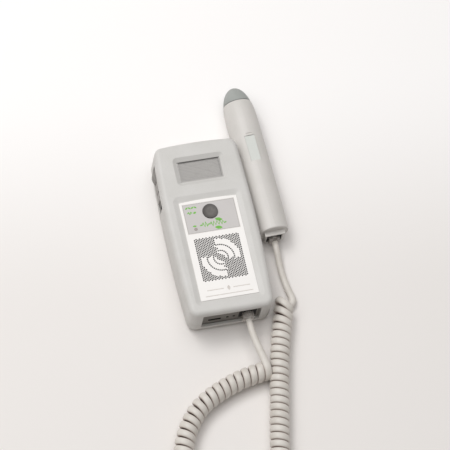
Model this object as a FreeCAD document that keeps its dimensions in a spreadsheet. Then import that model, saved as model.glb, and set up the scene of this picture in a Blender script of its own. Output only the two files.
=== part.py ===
import FreeCAD, Part
import math
import os
import Sketcher

# A hand-held fetal doppler monitor lying on its back, its pencil probe beside it and the
# curly cord that joins them. Millimetres; +X right, +Y towards the display, +Z out of the
# front face; the origin is the centre of the case's flat back.

Vector = FreeCAD.Vector
Rotation = FreeCAD.Rotation
Placement = FreeCAD.Placement

DRIVING_SIZES = {
    # case
    "unit_width": 70.0,
    "unit_length": 145.0,
    "unit_height": 33.0,
    "side_bulge": 2.4,
    "far_bulge": 1.7,
    "near_bulge": 0.3,
    "corner_round": 7.0,
    "front_round": 4.0,
    "back_round": 5.5,
    "side_wall": 2.2,
    "front_wall": 2.4,
    "back_wall": 2.2,
    "split_height": 14.0,
    "lip_wall": 1.0,
    "lip_height": 1.8,
    # clearances
    "fit_gap": 0.1,
    "run_gap": 0.3,
    # display
    "display_width": 34.0,
    "display_length": 17.2,
    "display_set": 24.3,
    "display_dish_depth": 2.0,
    "display_dish_margin": 3.2,
    "display_pad": 0.9,
    "window_thickness": 1.2,
    "window_sink": 0.3,
    "lcd_border": 3.4,
    "lcd_panel_thickness": 2.4,
    # label and speaker field
    "label_width": 45.6,
    "label_length": 83.6,
    "label_set": 11.8,
    "label_thickness": 0.5,
    "label_arch": 0.9,
    "label_dish_depth": 1.3,
    "label_dish_margin": 4.2,
    "grille_size": 35.3,
    "grille_below": 8.5,
    "hole_pitch": 1.53,
    "hole_diameter": 1.2,
    "wave_start": 3.0,
    "wave_first": 5.7,
    "wave_second": 10.7,
    "wave_rim": 15.6,
    "wave_half_angle": 54.0,
    "cloth_thickness": 0.4,
    # power button and status light
    "button_diameter": 11.8,
    "button_above": 30.7,
    "button_proud": 1.0,
    "button_hollow_radius": 26.0,
    "button_travel": 0.8,
    "button_flange": 1.2,
    "stem_diameter": 3.4,
    "led_x": -14.1,
    "led_above": 17.6,
    "led_diameter": 2.4,
    # speaker
    "speaker_diameter": 39.0,
    "speaker_depth": 7.2,
    "magnet_diameter": 19.0,
    "magnet_depth": 4.0,
    # board
    "board_top": 23.1,
    "board_thickness": 1.6,
    "board_side_gap": 5.0,
    "board_far_gap": 11.0,
    "board_near_gap": 3.2,
    "small_board_thickness": 1.4,
    "chip_size": 12.0,
    "chip_height": 1.4,
    "post_diameter": 5.0,
    "post_side": 3.0,
    "post_near": 12.5,
    "post_far": 5.5,
    "board_screw_diameter": 2.0,
    # housing screws
    "near_boss_gap": 0.4,
    "near_boss_end": 12.5,
    "far_boss_side": 11.0,
    "far_boss_end": 6.9,
    "boss_diameter": 7.0,
    "screw_diameter": 2.5,
    "screw_head_diameter": 5.0,
    "screw_head_height": 2.0,
    "screw_seat": 9.0,
    "screw_length": 13.0,
    # control strip on the left side
    "strip_far_gap": 11.7,
    "strip_length": 36.8,
    "strip_low": 9.0,
    "strip_high": 23.0,
    "strip_sink": 0.6,
    "strip_flange": 1.0,
    "wheel_set": 7.0,
    "wheel_radius": 7.8,
    "wheel_proud": 1.8,
    "wheel_low": 11.5,
    "wheel_thickness": 7.2,
    "wheel_shaft_diameter": 3.0,
    "pot_size": 6.6,
    "key_first_set": 17.5,
    "key_second_set": 25.2,
    "key_length": 6.4,
    "key_low": 10.8,
    "key_high": 20.6,
    "key_proud": 0.8,
    "key_travel": 0.5,
    "key_flange": 0.7,
    "key_stem_diameter": 2.4,
    "switch_size": 5.0,
    "phone_set": 33.8,
    "phone_z": 17.75,
    "phone_bore": 3.5,
    "phone_nose": 5.2,
    "phone_depth": 11.0,
    # jack panel in the near end
    "end_opening_width": 46.0,
    "end_opening_low": 7.5,
    "end_opening_high": 28.6,
    "panel_thickness": 2.0,
    "panel_border": 2.0,
    "jack_x": 13.5,
    "jack_z": 15.5,
    "jack_width": 13.6,
    "jack_low": 11.0,
    "jack_high": 24.4,
    "jack_depth": 9.9,
    "port_x": -12.4,
    "port_z": 14.1,
    "port_width": 10.0,
    "port_height": 2.8,
    "port_depth": 6.0,
    "pin_first_x": -2.3,
    "pin_second_x": 2.8,
    "pin_z": 14.8,
    "pin_diameter": 2.0,
    # batteries
    "cell_diameter": 14.2,
    "cell_length": 50.0,
    "cell_pitch": 14.5,
    "battery_gap": 0.5,
    "tray_width": 43.8,
    "tray_wall": 1.2,
    "contact_thickness": 0.4,
    "spring_length": 2.0,
    "door_thickness": 1.8,
    "door_sink": 0.25,
    "door_width": 44.8,
    "door_rail": 0.8,
    # modular plugs
    "plug_width": 8.4,
    "plug_height": 6.6,
    "plug_length": 12.2,
    "plug_tail": 5.1,
    # probe
    "probe_set": 14.0,
    "probe_y": -6.9,
    "probe_lean": 2.2,
    "probe_radius": 12.9,
    "probe_end_radius": 12.1,
    "probe_shoulder": 12.6,
    "probe_seam_radius": 11.05,
    "probe_seam": 113.3,
    "probe_length": 127.4,
    "nose_tuck": 7.0,
    "probe_wall": 2.0,
    "seal_thickness": 0.6,
    "crystal_radius": 7.6,
    "crystal_thickness": 1.5,
    "block_width": 15.4,
    "block_top": 4.5,
    "block_reach": 2.8,
    "socket_drop": 4.9,
    "socket_end": 4.9,
    "probe_jack_width": 12.0,
    "probe_board_width": 15.0,
    "patch_width": 7.8,
    "patch_length": 21.5,
    "patch_start": 58.6,
    "patch_sink": 0.9,
    # cord
    "cord_diameter": 5.2,
    "cord_straight": 6.5,
    "coil_diameter": 15.7,
}

# Routes of the cord's free stretches. Each tail starts at its plug, which gives the first two
# points, and ends in the coil.
UNIT_TAIL = [
    (15.0, -91.0, 13.9),
    (17.3, -102.5, 12.4),
    (18.3, -113.5, 12.8),
]
COIL = [
    (19.2, -116.0),
    (2.5, -118.2),
    (-19.0, -125.6),
    (-38.0, -136.0),
    (-51.0, -152.5),
    (-58.5, -171.0),
    (-62.0, -190.0),
    (-62.0, -210.3),
    (-51.8, -227.9),
    (-34.2, -238.0),
    (-14.0, -238.0),
    (3.6, -227.9),
    (13.8, -210.3),
    (13.8, -190.0),
    (17.2, -170.5),
    (22.8, -146.5),
    (28.3, -121.5),
    (34.3, -97.5),
    (40.9, -77.0),
    (46.6, -60.5),
]
PROBE_TAIL = [
    (49.5, -28.0, 4.9),
    (49.6, -38.0, 3.0),
    (51.0, -47.5, 2.8),
    (52.9, -56.5, 3.6),
    (52.4, -65.0, 4.8),
]

doc = FreeCAD.newDocument("DopplerMonitor")
nodes = []


class Length:
    """A length with its value and the formula over the sheet's cells that gives it."""

    def __init__(self, value, formula):
        self.value = float(value)
        self.formula = formula

    def join(self, sign, other, value):
        return Length(value, f"({self.formula} {sign} {other.formula})")

    def __add__(self, other):
        other = length(other)
        return self.join("+", other, self.value + other.value)

    def __sub__(self, other):
        other = length(other)
        return self.join("-", other, self.value - other.value)

    def __mul__(self, other):
        other = length(other)
        return self.join("*", other, self.value * other.value)

    def __truediv__(self, other):
        other = length(other)
        return self.join("/", other, self.value / other.value)

    def __radd__(self, other):
        return length(other) + self

    def __rsub__(self, other):
        return length(other) - self

    def __rmul__(self, other):
        return length(other) * self

    def __neg__(self):
        return length(0) - self


def length(size):
    """Takes a plain number as a length."""
    return size if isinstance(size, Length) else Length(size, repr(float(size)))


def root(square):
    return Length(math.sqrt(square.value), f"sqrt({square.formula})")


class Sizes:
    """The driving sizes, each read back from the sheet under its alias."""

    def __init__(self, sheet, aliases):
        for alias in aliases:
            setattr(self, alias, Length(sheet.get(alias), "Sizes." + alias))


def make_sheet():
    sheet = doc.addObject("Spreadsheet::Sheet", "Sizes")
    for row, (alias, value) in enumerate(DRIVING_SIZES.items(), start=1):
        sheet.set(f"A{row}", alias)
        sheet.set(f"B{row}", str(value))
        sheet.setAlias(f"B{row}", alias)
    doc.recompute()
    return sheet


size = Sizes(make_sheet(), DRIVING_SIZES)


# ---------- helpers: primitives and booleans ----------


def bind(thing, path, amount):
    thing.setExpression(path, length(amount).formula)


def around(centre, width):
    """The two ends of a width that is centred on a place."""
    return (centre - length(width) / 2, centre + length(width) / 2)


def box(name, x, y, z):
    solid = doc.addObject("Part::Box", name)
    for side, axis, (low, high) in (("Length", "x", x), ("Width", "y", y), ("Height", "z", z)):
        bind(solid, side, length(high) - low)
        bind(solid, ".Placement.Base." + axis, low)
    return solid


TURNS = {
    "x": Rotation(Vector(0, 1, 0), 90),
    "y": Rotation(Vector(1, 0, 0), -90),
    "z": Rotation(),
}


def rod(name, start, diameter, reach, along="z"):
    """A cylinder from its start, along +X, +Y or +Z."""
    solid = doc.addObject("Part::Cylinder", name)
    solid.Placement = Placement(Vector(), TURNS[along])
    bind(solid, "Radius", length(diameter) / 2)
    bind(solid, "Height", reach)
    for axis, place in zip("xyz", start):
        bind(solid, ".Placement.Base." + axis, place)
    return solid


def fuse(name, *pieces):
    whole = doc.addObject("Part::MultiFuse", name)
    whole.Shapes = list(pieces)
    return whole


def cut(name, base, *tools):
    result = doc.addObject("Part::Cut", name)
    result.Base = base
    result.Tool = tools[0] if len(tools) == 1 else fuse(name + "_cutters", *tools)
    return result


def common(name, first, second):
    result = doc.addObject("Part::Common", name)
    result.Base = first
    result.Tool = second
    return result


def group(name, *pieces):
    """Separate solids kept together in one node."""
    together = doc.addObject("Part::Compound", name)
    together.Links = list(pieces)
    return together


def keep(piece):
    """Names a finished sub-part for export."""
    nodes.append(piece)
    return piece


# ---------- helpers: bodies and sketches ----------


def new_body(name):
    return doc.addObject("PartDesign::Body", name)


def sketch_in(body, name, plane="XY_Plane", height=0):
    sketch = body.newObject("Sketcher::SketchObject", name)
    support = next(feature for feature in body.Origin.OriginFeatures if feature.Role == plane)
    sketch.AttachmentSupport = [(support, "")]
    sketch.MapMode = "FlatFace"
    bind(sketch, ".AttachmentOffset.Base.z", height)
    return sketch


def pin_point(sketch, geometry, point, x, y):
    """Fixes a point of the sketch at two lengths from the sketch's origin."""
    for kind, across, place in (("DistanceX", -2, length(x)), ("DistanceY", -1, length(y))):
        if place.formula == "0.0":
            sketch.addConstraint(Sketcher.Constraint("PointOnObject", geometry, point, across))
            continue
        rule = Sketcher.Constraint(kind, -1, 1, geometry, point, place.value)
        name_rule(sketch, sketch.addConstraint(rule), f"{kind}_{geometry}_{point}", place)


def name_rule(sketch, index, name, amount):
    sketch.renameConstraint(index, name)
    bind(sketch, "Constraints." + name, amount)


def join_points(sketch, kind, first, second):
    sketch.addConstraint(Sketcher.Constraint(kind, *first, *second))


def polygon(sketch, points):
    """A closed run of straight edges, each corner fixed by its two lengths."""
    corners = [Vector(length(x).value, length(y).value, 0) for x, y in points]
    count = len(corners)
    for index in range(count):
        sketch.addGeometry(Part.LineSegment(corners[index], corners[(index + 1) % count]))
    for index, (x, y) in enumerate(points):
        join_points(sketch, "Coincident", ((index - 1) % count, 2), (index, 1))
        pin_point(sketch, index, 1, x, y)


def circle(sketch, radius, x=0, y=0):
    centre = Vector(length(x).value, length(y).value, 0)
    index = sketch.addGeometry(Part.Circle(centre, Vector(0, 0, 1), length(radius).value))
    rule = Sketcher.Constraint("Radius", index, length(radius).value)
    name_rule(sketch, sketch.addConstraint(rule), f"radius_{index}", radius)
    pin_point(sketch, index, 3, x, y)


def arc(sketch, centre, radius, first, last):
    curve = Part.Circle(centre, Vector(0, 0, 1), radius)
    return sketch.addGeometry(Part.ArcOfCircle(curve, first, last))


def rounded(sketch, x, y, radius):
    """A rectangle with equal round corners between two places along each axis."""
    left, right = (length(place) for place in x)
    low, high = (length(place) for place in y)
    r = length(radius).value
    corners = [(right, high, 0), (left, high, 90), (left, low, 180), (right, low, 270)]
    for cx, cy, turn in corners:
        inward = Vector(-r if cx is right else r, -r if cy is high else r, 0)
        middle = Vector(cx.value, cy.value, 0) + inward
        arc(sketch, middle, r, math.radians(turn), math.radians(turn + 90))
    for index in range(4):
        start = sketch.Geometry[index].EndPoint
        end = sketch.Geometry[(index + 1) % 4].StartPoint
        line = sketch.addGeometry(Part.LineSegment(start, end))
        join_points(sketch, "Tangent", (index, 2), (line, 1))
        join_points(sketch, "Tangent", (line, 2), ((index + 1) % 4, 1))
        kind = "Horizontal" if index % 2 == 0 else "Vertical"
        sketch.addConstraint(Sketcher.Constraint(kind, line))
    for index in range(1, 4):
        sketch.addConstraint(Sketcher.Constraint("Equal", 0, index))
    name_rule(sketch, sketch.addConstraint(Sketcher.Constraint("Radius", 0, r)), "corner", radius)
    for kind, geometry, point, place in (
        ("DistanceY", 0, 2, high),
        ("DistanceX", 1, 2, left),
        ("DistanceY", 2, 2, low),
        ("DistanceX", 3, 2, right),
    ):
        rule = Sketcher.Constraint(kind, -1, 1, geometry, point, place.value)
        name_rule(sketch, sketch.addConstraint(rule), f"{kind}_{geometry}", place)


def pad(body, sketch, thickness, midplane=False):
    feature = body.newObject("PartDesign::Pad", sketch.Name + "_pad")
    feature.Profile = sketch
    bind(feature, "Length", thickness)
    feature.Midplane = midplane
    return feature


def turned(name, points):
    """A solid turned about Z from a half profile of radius and height."""
    body = new_body(name)
    sketch = sketch_in(body, name + "_profile", "XZ_Plane")
    polygon(sketch, points)
    feature = body.newObject("PartDesign::Revolution", name + "_turn")
    feature.Profile = sketch
    feature.ReferenceAxis = (sketch, ["V_Axis"])
    feature.Angle = 360
    return body


# ---------- case outline ----------

half_width = size.unit_width / 2
half_length = size.unit_length / 2
front_inside = size.unit_height - size.front_wall


def rise_radius(chord, rise):
    """Radius of the arc that rises by so much over a chord."""
    return (chord * chord / 4 + rise * rise) / (rise * 2)


def side_reach(y):
    """How far the case's side stands from its middle plane at a place along it."""
    return half_width - size.side_bulge * (y / half_length) * (y / half_length)


def meet(first, second, sign_x, sign_y):
    """Where two circles (centre, radius) cross, in the quarter that the signs name."""
    (a, ra), (b, rb) = first, second
    span = b - a
    along = (ra**2 - rb**2 + span.Length**2) / (2 * span.Length)
    away = math.sqrt(ra**2 - along**2)
    unit = span / span.Length
    side = Vector(-unit.y, unit.x, 0)
    places = [a + unit * along + side * away, a + unit * along - side * away]
    return max(places, key=lambda place: place.x * sign_x + place.y * sign_y)


def case_outline(sketch, inset):
    """Four slightly bulging edges joined by tangent corner arcs, all pulled in by an inset."""
    side = rise_radius(size.unit_length, size.side_bulge)
    far = rise_radius(size.unit_width, size.far_bulge)
    near = rise_radius(size.unit_width, size.near_bulge)
    edges = [
        (half_width - side, length(0), side),
        (length(0), half_length - far, far),
        (side - half_width, length(0), side),
        (length(0), near - half_length, near),
    ]
    corner = size.corner_round
    centres = [Vector(x.value, y.value, 0) for x, y, radius in edges]
    quarters = [(1, 1), (-1, 1), (-1, -1), (1, -1)]
    corner_centres = []
    for index, (sign_x, sign_y) in enumerate(quarters):
        after = (index + 1) % 4
        first = (centres[index], edges[index][2].value - corner.value)
        second = (centres[after], edges[after][2].value - corner.value)
        corner_centres.append(meet(first, second, sign_x, sign_y))

    def angle(centre, place):
        return math.atan2(place.y - centre.y, place.x - centre.x)

    for index in range(4):
        before = corner_centres[index - 1]
        after = corner_centres[index]
        start = angle(centres[index], before)
        end = angle(centres[index], after)
        radius = edges[index][2].value - inset.value
        arc(sketch, centres[index], radius, start, end if end > start else end + 2 * math.pi)
        next_start = angle(centres[(index + 1) % 4], after)
        if next_start < end:
            next_start += 2 * math.pi
        arc(sketch, after, corner.value - inset.value, end, next_start)
    for index in range(8):
        join_points(sketch, "Tangent", (index, 2), ((index + 1) % 8, 1))
    for index, (x, y, radius) in enumerate(edges):
        rule = Sketcher.Constraint("Radius", 2 * index, radius.value - inset.value)
        name_rule(sketch, sketch.addConstraint(rule), f"edge_{index}", radius - inset)
        pin_point(sketch, 2 * index, 3, x, y)
        rule = Sketcher.Constraint("Radius", 2 * index + 1, corner.value - inset.value)
        name_rule(sketch, sketch.addConstraint(rule), f"corner_{index}", corner - inset)


def form(name, inset, low, high, low_round=None, high_round=None):
    """A block with the case's outline, its two rims rounded where a radius is given."""
    body = new_body(name)
    sketch = sketch_in(body, name + "_outline", height=low)
    case_outline(sketch, length(inset))
    pad(body, sketch, length(high) - low)
    doc.recompute()
    for rim, level, radius in (("low", low, low_round), ("high", high, high_round)):
        if radius is None:
            continue
        base = body.Tip
        at_level = [
            f"Edge{number}"
            for number, edge in enumerate(base.Shape.Edges, start=1)
            if all(abs(corner.Z - length(level).value) < 1e-6 for corner in edge.Vertexes)
        ]
        fillet = body.newObject("PartDesign::Fillet", f"{name}_{rim}_round")
        fillet.Base = (base, at_level)
        bind(fillet, "Radius", radius)
        doc.recompute()
    return body


def ring(name, outer_inset, inner_inset, low, high):
    """A band that follows the case's outline between two insets."""
    outside = form(name + "_outside", outer_inset, low, high)
    inside = form(name + "_inside", inner_inset, length(low) - 1, length(high) + 1)
    return cut(name, outside, inside)


def dish(name, x, y, floor, depth, margin, floor_round):
    """The hollow of a shallow dish whose sloping sides run on past the front face."""
    body = new_body(name)
    bottom = sketch_in(body, name + "_bottom", height=floor)
    rounded(bottom, x, y, floor_round)
    top = sketch_in(body, name + "_top", height=floor + depth * 2)
    spread = margin * 2
    rounded(top, (x[0] - spread, x[1] + spread), (y[0] - spread, y[1] + spread), floor_round + spread)
    loft = body.newObject("PartDesign::AdditiveLoft", name + "_loft")
    loft.Profile = bottom
    loft.Sections = [top]
    loft.Ruled = True
    return body


# ---------- housings ----------

near_face = -half_length
panel_front = near_face + size.side_wall + size.near_bulge
display_floor = size.unit_height - size.display_dish_depth
label_floor = size.unit_height - size.label_dish_depth
label_top = label_floor + size.label_thickness
grille_opening = size.grille_size + 2 * size.hole_diameter / 2
button_hole = size.button_diameter + 2 * size.fit_gap + 0.2
display_y = half_length - size.display_set
label_y = near_face + size.label_set + size.label_length / 2
grille_y = label_y - size.grille_below
button_y = label_y + size.button_above
led_y = label_y + size.led_above
board_bottom = size.board_top - size.board_thickness
board_width = size.unit_width - 2 * size.board_side_gap
board_far = half_length - size.board_far_gap
board_near = led_y - size.board_near_gap
cells_near = panel_front + size.jack_depth + size.battery_gap + size.tray_wall
cells_far = cells_near + size.cell_length + size.spring_length + 2 * size.contact_thickness
tray_top = size.back_wall + size.cell_diameter + 0.9
door_near = near_face
door_far = cells_far + 1.4
near_boss_side = size.tray_width / 2 + size.tray_wall + size.near_boss_gap + size.boss_diameter / 2
near_boss = (near_boss_side, near_face + size.near_boss_end)
far_boss = (half_width - size.far_boss_side, half_length - size.far_boss_end)
screw_places = [
    near_boss,
    (-near_boss[0], near_boss[1]),
    far_boss,
    (-far_boss[0], far_boss[1]),
]
post_x = board_width / 2 - size.post_side
board_posts = [
    (post_x, board_near + size.post_near),
    (-post_x, board_near + size.post_near),
    (post_x, board_far - size.post_far),
]
strip_far = half_length - size.strip_far_gap
strip_near = strip_far - size.strip_length
strip_gap = size.fit_gap
wheel_y = strip_far - size.wheel_set
key_first_y = strip_far - size.key_first_set
key_second_y = strip_far - size.key_second_set
phone_y = strip_far - size.phone_set
wheel_x = -(side_reach(wheel_y) + size.wheel_proud - size.wheel_radius)


def case_openings(prefix):
    """The side strip's and the jack panel's openings, which cross both halves."""
    side = box(
        prefix + "_strip_opening",
        (-half_width - 5, -half_width + 5),
        (strip_near - strip_gap, strip_far + strip_gap),
        (size.strip_low - strip_gap, size.strip_high + strip_gap),
    )
    end = box(
        prefix + "_end_opening",
        around(0, size.end_opening_width),
        (near_face - 1, panel_front + 0.5),
        (size.end_opening_low, size.end_opening_high),
    )
    return [side, end]


def wheel_space(prefix):
    """Room for the volume wheel to turn in."""
    run = size.run_gap
    return rod(
        prefix + "_wheel_space",
        (wheel_x, wheel_y, size.wheel_low - run),
        2 * (size.wheel_radius + run),
        size.wheel_thickness + 2 * run,
    )


def make_housings():
    outer = form("case_outside", 0, 0, size.unit_height, size.back_round, size.front_round)
    inner = form(
        "case_inside",
        size.side_wall,
        size.back_wall,
        front_inside,
        size.back_round - size.side_wall,
        size.front_round - size.side_wall,
    )
    shell = cut("case_shell", outer, inner)
    wide = (-size.unit_width, size.unit_width)
    long = (-size.unit_length, size.unit_length)
    upper = box("upper_space", wide, long, (size.split_height, size.unit_height + 5))
    lower = box("lower_space", wide, long, (-5, size.split_height))
    make_front(common("front_half", shell, upper))
    make_rear(common("rear_half", shell, lower))
    make_door(outer)


def make_front(half):
    bosses = []
    pilots = []
    for index, (x, y) in enumerate(screw_places):
        reach = front_inside - size.split_height + 0.5
        bosses.append(rod(f"front_boss_{index}", (x, y, size.split_height), size.boss_diameter, reach))
        start = (x, y, size.split_height - 1)
        depth = size.screw_seat + size.screw_length - size.split_height + 1.5
        pilots.append(rod(f"front_pilot_{index}", start, size.screw_diameter, depth))
    margin = size.display_dish_margin + 1
    display_pad = box(
        "display_pad",
        around(0, size.display_width + 2 * margin),
        around(display_y, size.display_length + 2 * margin),
        (front_inside - size.display_pad, front_inside + 0.5),
    )
    for index, (x, y) in enumerate(board_posts):
        reach = front_inside - size.board_top + 0.5
        bosses.append(rod(f"board_post_{index}", (x, y, size.board_top), size.post_diameter, reach))
        start = (x, y, size.board_top - 1)
        pilots.append(rod(f"post_pilot_{index}", start, size.board_screw_diameter, 6))
    groove = ring(
        "lip_groove",
        size.side_wall - size.lip_wall,
        size.side_wall + 0.5,
        size.split_height - 1,
        size.split_height + size.lip_height + size.fit_gap,
    )
    display_dish = dish(
        "display_dish",
        around(0, size.display_width + 0.4),
        around(display_y, size.display_length + 0.4),
        display_floor,
        size.display_dish_depth,
        size.display_dish_margin,
        0.5,
    )
    label_dish = dish(
        "label_dish",
        around(0, size.label_width + 0.4),
        around(label_y, size.label_length + 0.4),
        label_floor,
        size.label_dish_depth,
        size.label_dish_margin,
        0.5,
    )
    inside_out = (front_inside - size.display_pad - 1, size.unit_height)
    window = box(
        "window_opening",
        around(0, size.display_width + 2 * size.fit_gap),
        around(display_y, size.display_length + 2 * size.fit_gap),
        inside_out,
    )
    sound = box(
        "speaker_opening",
        around(0, grille_opening),
        around(grille_y, grille_opening),
        inside_out,
    )
    through = size.front_wall + 2
    button = rod("button_opening", (0, button_y, front_inside - 1), button_hole, through)
    led = rod(
        "led_opening",
        (size.led_x, led_y, front_inside - 1),
        size.led_diameter + 2 * size.fit_gap,
        through,
    )
    body = fuse("front_with_bosses", half, display_pad, *bosses)
    tools = [groove, display_dish, label_dish, window, sound, button, led, *pilots]
    keep(cut("front_housing", body, *tools, wheel_space("front"), *case_openings("front")))


def make_rear(half):
    tongue = ring(
        "lip_tongue",
        size.side_wall - size.lip_wall + size.fit_gap,
        size.side_wall,
        size.split_height - 1,
        size.split_height + size.lip_height,
    )
    tray_x = around(0, size.tray_width)
    tray_y = (cells_near, cells_far)
    wall = size.tray_wall
    tray = box(
        "tray_walls",
        (tray_x[0] - wall, tray_x[1] + wall),
        (tray_y[0] - wall, tray_y[1] + wall),
        (size.back_wall, tray_top + wall),
    )
    ledge = box(
        "door_ledge",
        around(0, size.door_width + 2 * size.door_rail + 2),
        (near_face + size.side_wall - 0.2, cells_near),
        (size.back_wall, size.back_wall + 1.6),
    )
    hollow = box("tray_hollow", tray_x, tray_y, (-1, tray_top))
    bosses = []
    bores = []
    for index, (x, y) in enumerate(screw_places):
        reach = size.split_height - size.back_wall + 0.5
        start = (x, y, size.back_wall - 0.5)
        bosses.append(rod(f"rear_boss_{index}", start, size.boss_diameter, reach))
        wide = size.screw_head_diameter + 0.4
        bores.append(rod(f"head_bore_{index}", (x, y, -1), wide, size.screw_seat + 1))
        clear = size.screw_diameter + 0.2
        bores.append(rod(f"screw_bore_{index}", (x, y, 0), clear, size.split_height + 1))
    body = fuse("rear_with_tray", half, tongue, tray, ledge, *bosses)
    tools = [hollow, *door_space(), *bores, wheel_space("rear"), *case_openings("rear")]
    keep(cut("rear_housing", body, *tools))


rail_low = size.door_sink + size.door_thickness / 2


def door_space():
    """The recess and the side grooves that the battery door slides in."""
    gap = size.fit_gap
    y = (near_face - 2, door_far + gap)
    plate = box("door_recess", around(0, size.door_width + 2 * gap), y, (-1, size.back_wall))
    rails = box(
        "door_grooves",
        around(0, size.door_width + 2 * size.door_rail + 2 * gap),
        y,
        (rail_low - gap, size.back_wall),
    )
    return [plate, rails]


def make_door(outer):
    y = (door_near, door_far)
    top = size.door_sink + size.door_thickness
    plate = box("door_plate", around(0, size.door_width), y, (size.door_sink, top))
    rails = box(
        "door_rails",
        around(0, size.door_width + 2 * size.door_rail),
        (door_near + size.corner_round, door_far),
        (rail_low, top),
    )
    grips = []
    for index in range(5):
        ridge = door_near + 10 + 2.4 * index
        grips.append(
            box(f"door_grip_{index}", around(0, 20), around(ridge, 1.2), (0, size.door_sink + 0.4))
        )
    blank = common("door_blank", fuse("door_with_rails", plate, rails), outer)
    keep(cut("battery_door", blank, *grips))


# ---------- display, label, button and light ----------

window_top = display_floor - size.window_sink
window_bottom = window_top - size.window_thickness


def make_display():
    x = around(0, size.display_width)
    y = around(display_y, size.display_length)
    keep(box("display_window", x, y, (window_bottom, window_top)))
    border = size.lcd_border
    frame_low = size.board_top + 2
    frame = box(
        "lcd_block",
        (x[0] - border, x[1] + border),
        (y[0] - border, y[1] + border),
        (frame_low, window_bottom),
    )
    legs = []
    for index, (sx, sy) in enumerate(((1, 1), (1, -1), (-1, 1), (-1, -1))):
        centre_x = sx * (size.display_width / 2 + border - 1.5)
        centre_y = display_y + sy * (size.display_length / 2 + border - 1.5)
        legs.append(rod(f"lcd_leg_{index}", (centre_x, centre_y, size.board_top), 2.4, 2.5))
    seat = window_bottom - size.lcd_panel_thickness
    hollow = box("lcd_seat", x, y, (seat, window_bottom + 1))
    keep(cut("lcd_frame", fuse("lcd_with_legs", frame, *legs), hollow))
    gap = size.fit_gap
    keep(box("lcd_panel", (x[0] + gap, x[1] - gap), (y[0] + gap, y[1] - gap), (seat, window_bottom)))


def in_wave(x, y):
    """Whether a place lies in one of the two fans of plain arcs across the speaker field."""
    reach = math.hypot(x, y)
    off_axis = abs((math.degrees(math.atan2(y, x)) + 45) % 180 - 90)
    in_reach = size.wave_start.value < reach < size.wave_rim.value
    return in_reach and off_axis < size.wave_half_angle.value


def grille_holes():
    """Centres of the speaker field's holes, in a honeycomb left out where the wave is."""
    half = size.grille_size.value / 2
    column_step = size.hole_pitch.value * math.sqrt(3)
    row_step = size.hole_pitch.value / 2
    last_row = int(half / row_step)
    for row in range(-last_row, last_row + 1):
        shift = 0 if row % 2 else 0.5
        last_column = int(half / column_step - shift)
        for column in range(-last_column - round(2 * shift), last_column + 1):
            x = (column + shift) * column_step
            y = row * row_step
            if not in_wave(x, y):
                yield x, grille_y.value + y


def wave_line_holes():
    """Holes that follow the two thin lines between the wave's arcs."""
    half_turn = math.radians(size.wave_half_angle.value)
    for line in (size.wave_first.value, size.wave_second.value):
        count = round(2 * half_turn * line / size.hole_pitch.value)
        for middle in (math.pi / 4, math.pi * 5 / 4):
            for index in range(count + 1):
                turn = middle + half_turn * (2 * index / count - 1)
                yield line * math.cos(turn), grille_y.value + line * math.sin(turn)


def make_label():
    side = size.label_width.value / 2
    near = label_y.value - size.label_length.value / 2
    crest = near + size.label_length.value
    shoulder = crest - size.label_arch.value
    low = label_floor.value
    up = Vector(0, 0, 1)
    corners = [(-side, shoulder), (-side, near), (side, near), (side, shoulder)]
    edges = [
        Part.makeLine(Vector(*start, low), Vector(*end, low))
        for start, end in zip(corners, corners[1:])
    ]
    arch = Part.Arc(Vector(side, shoulder, low), Vector(0, crest, low), Vector(-side, shoulder, low))
    wires = [Part.Wire([*edges, arch.toShape()])]
    far_enough = size.hole_pitch.value * 0.8
    centres = list(wave_line_holes())
    for place in grille_holes():
        if all(math.dist(place, other) > far_enough for other in centres):
            centres.append(place)
    round_cuts = [(x, y, size.hole_diameter.value / 2) for x, y in centres]
    round_cuts.append((0, button_y.value, button_hole.value / 2))
    led_radius = size.led_diameter.value / 2 + size.fit_gap.value
    round_cuts.append((size.led_x.value, led_y.value, led_radius))
    for x, y, radius in round_cuts:
        wires.append(Part.Wire(Part.makeCircle(radius, Vector(x, y, low), up)))
    face = Part.Face(wires, "Part::FaceMakerBullseye")
    label = doc.addObject("Part::Feature", "front_label")
    label.Shape = face.extrude(up * size.label_thickness.value)
    keep(label)
    keep(
        box(
            "grille_cloth",
            around(0, grille_opening - 2 * size.fit_gap),
            around(grille_y, grille_opening - 2 * size.fit_gap),
            (label_floor - size.cloth_thickness, label_floor),
        )
    )


def make_button():
    flange_top = front_inside - size.run_gap
    flange_low = flange_top - size.button_flange
    crown = label_top + size.button_proud
    switch_top = size.board_top + 3.5
    stem_low = switch_top - 0.4
    cap = rod("button_cap", (0, button_y, flange_low), size.button_diameter, crown - flange_low)
    flange = rod(
        "button_rim",
        (0, button_y, flange_low),
        size.button_diameter + 2.6,
        size.button_flange,
    )
    reach = flange_low - stem_low + 0.2
    stem = rod("button_stem", (0, button_y, stem_low), size.stem_diameter, reach)
    hollow = doc.addObject("Part::Sphere", "button_hollow")
    bind(hollow, "Radius", size.button_hollow_radius)
    bind(hollow, ".Placement.Base.y", button_y)
    bind(hollow, ".Placement.Base.z", crown + size.button_hollow_radius - 0.6)
    keep(cut("power_button", fuse("button_whole", cap, flange, stem), hollow))
    block = box(
        "switch_block",
        around(0, 6.2),
        around(button_y, 6.2),
        (size.board_top, switch_top),
    )
    bore_low = stem_low - size.button_travel - 0.3
    bore = rod(
        "switch_bore",
        (0, button_y, bore_low),
        size.stem_diameter + 2 * size.fit_gap,
        switch_top - bore_low + 1,
    )
    keep(cut("power_switch", block, bore))


def make_led():
    place = (size.led_x, led_y)
    base = rod("led_base", (*place, size.board_top), 3.8, 3)
    pipe = rod("led_pipe", (*place, size.board_top), size.led_diameter, label_top - size.board_top)
    keep(fuse("status_led", base, pipe))


# ---------- speaker and boards ----------


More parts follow.
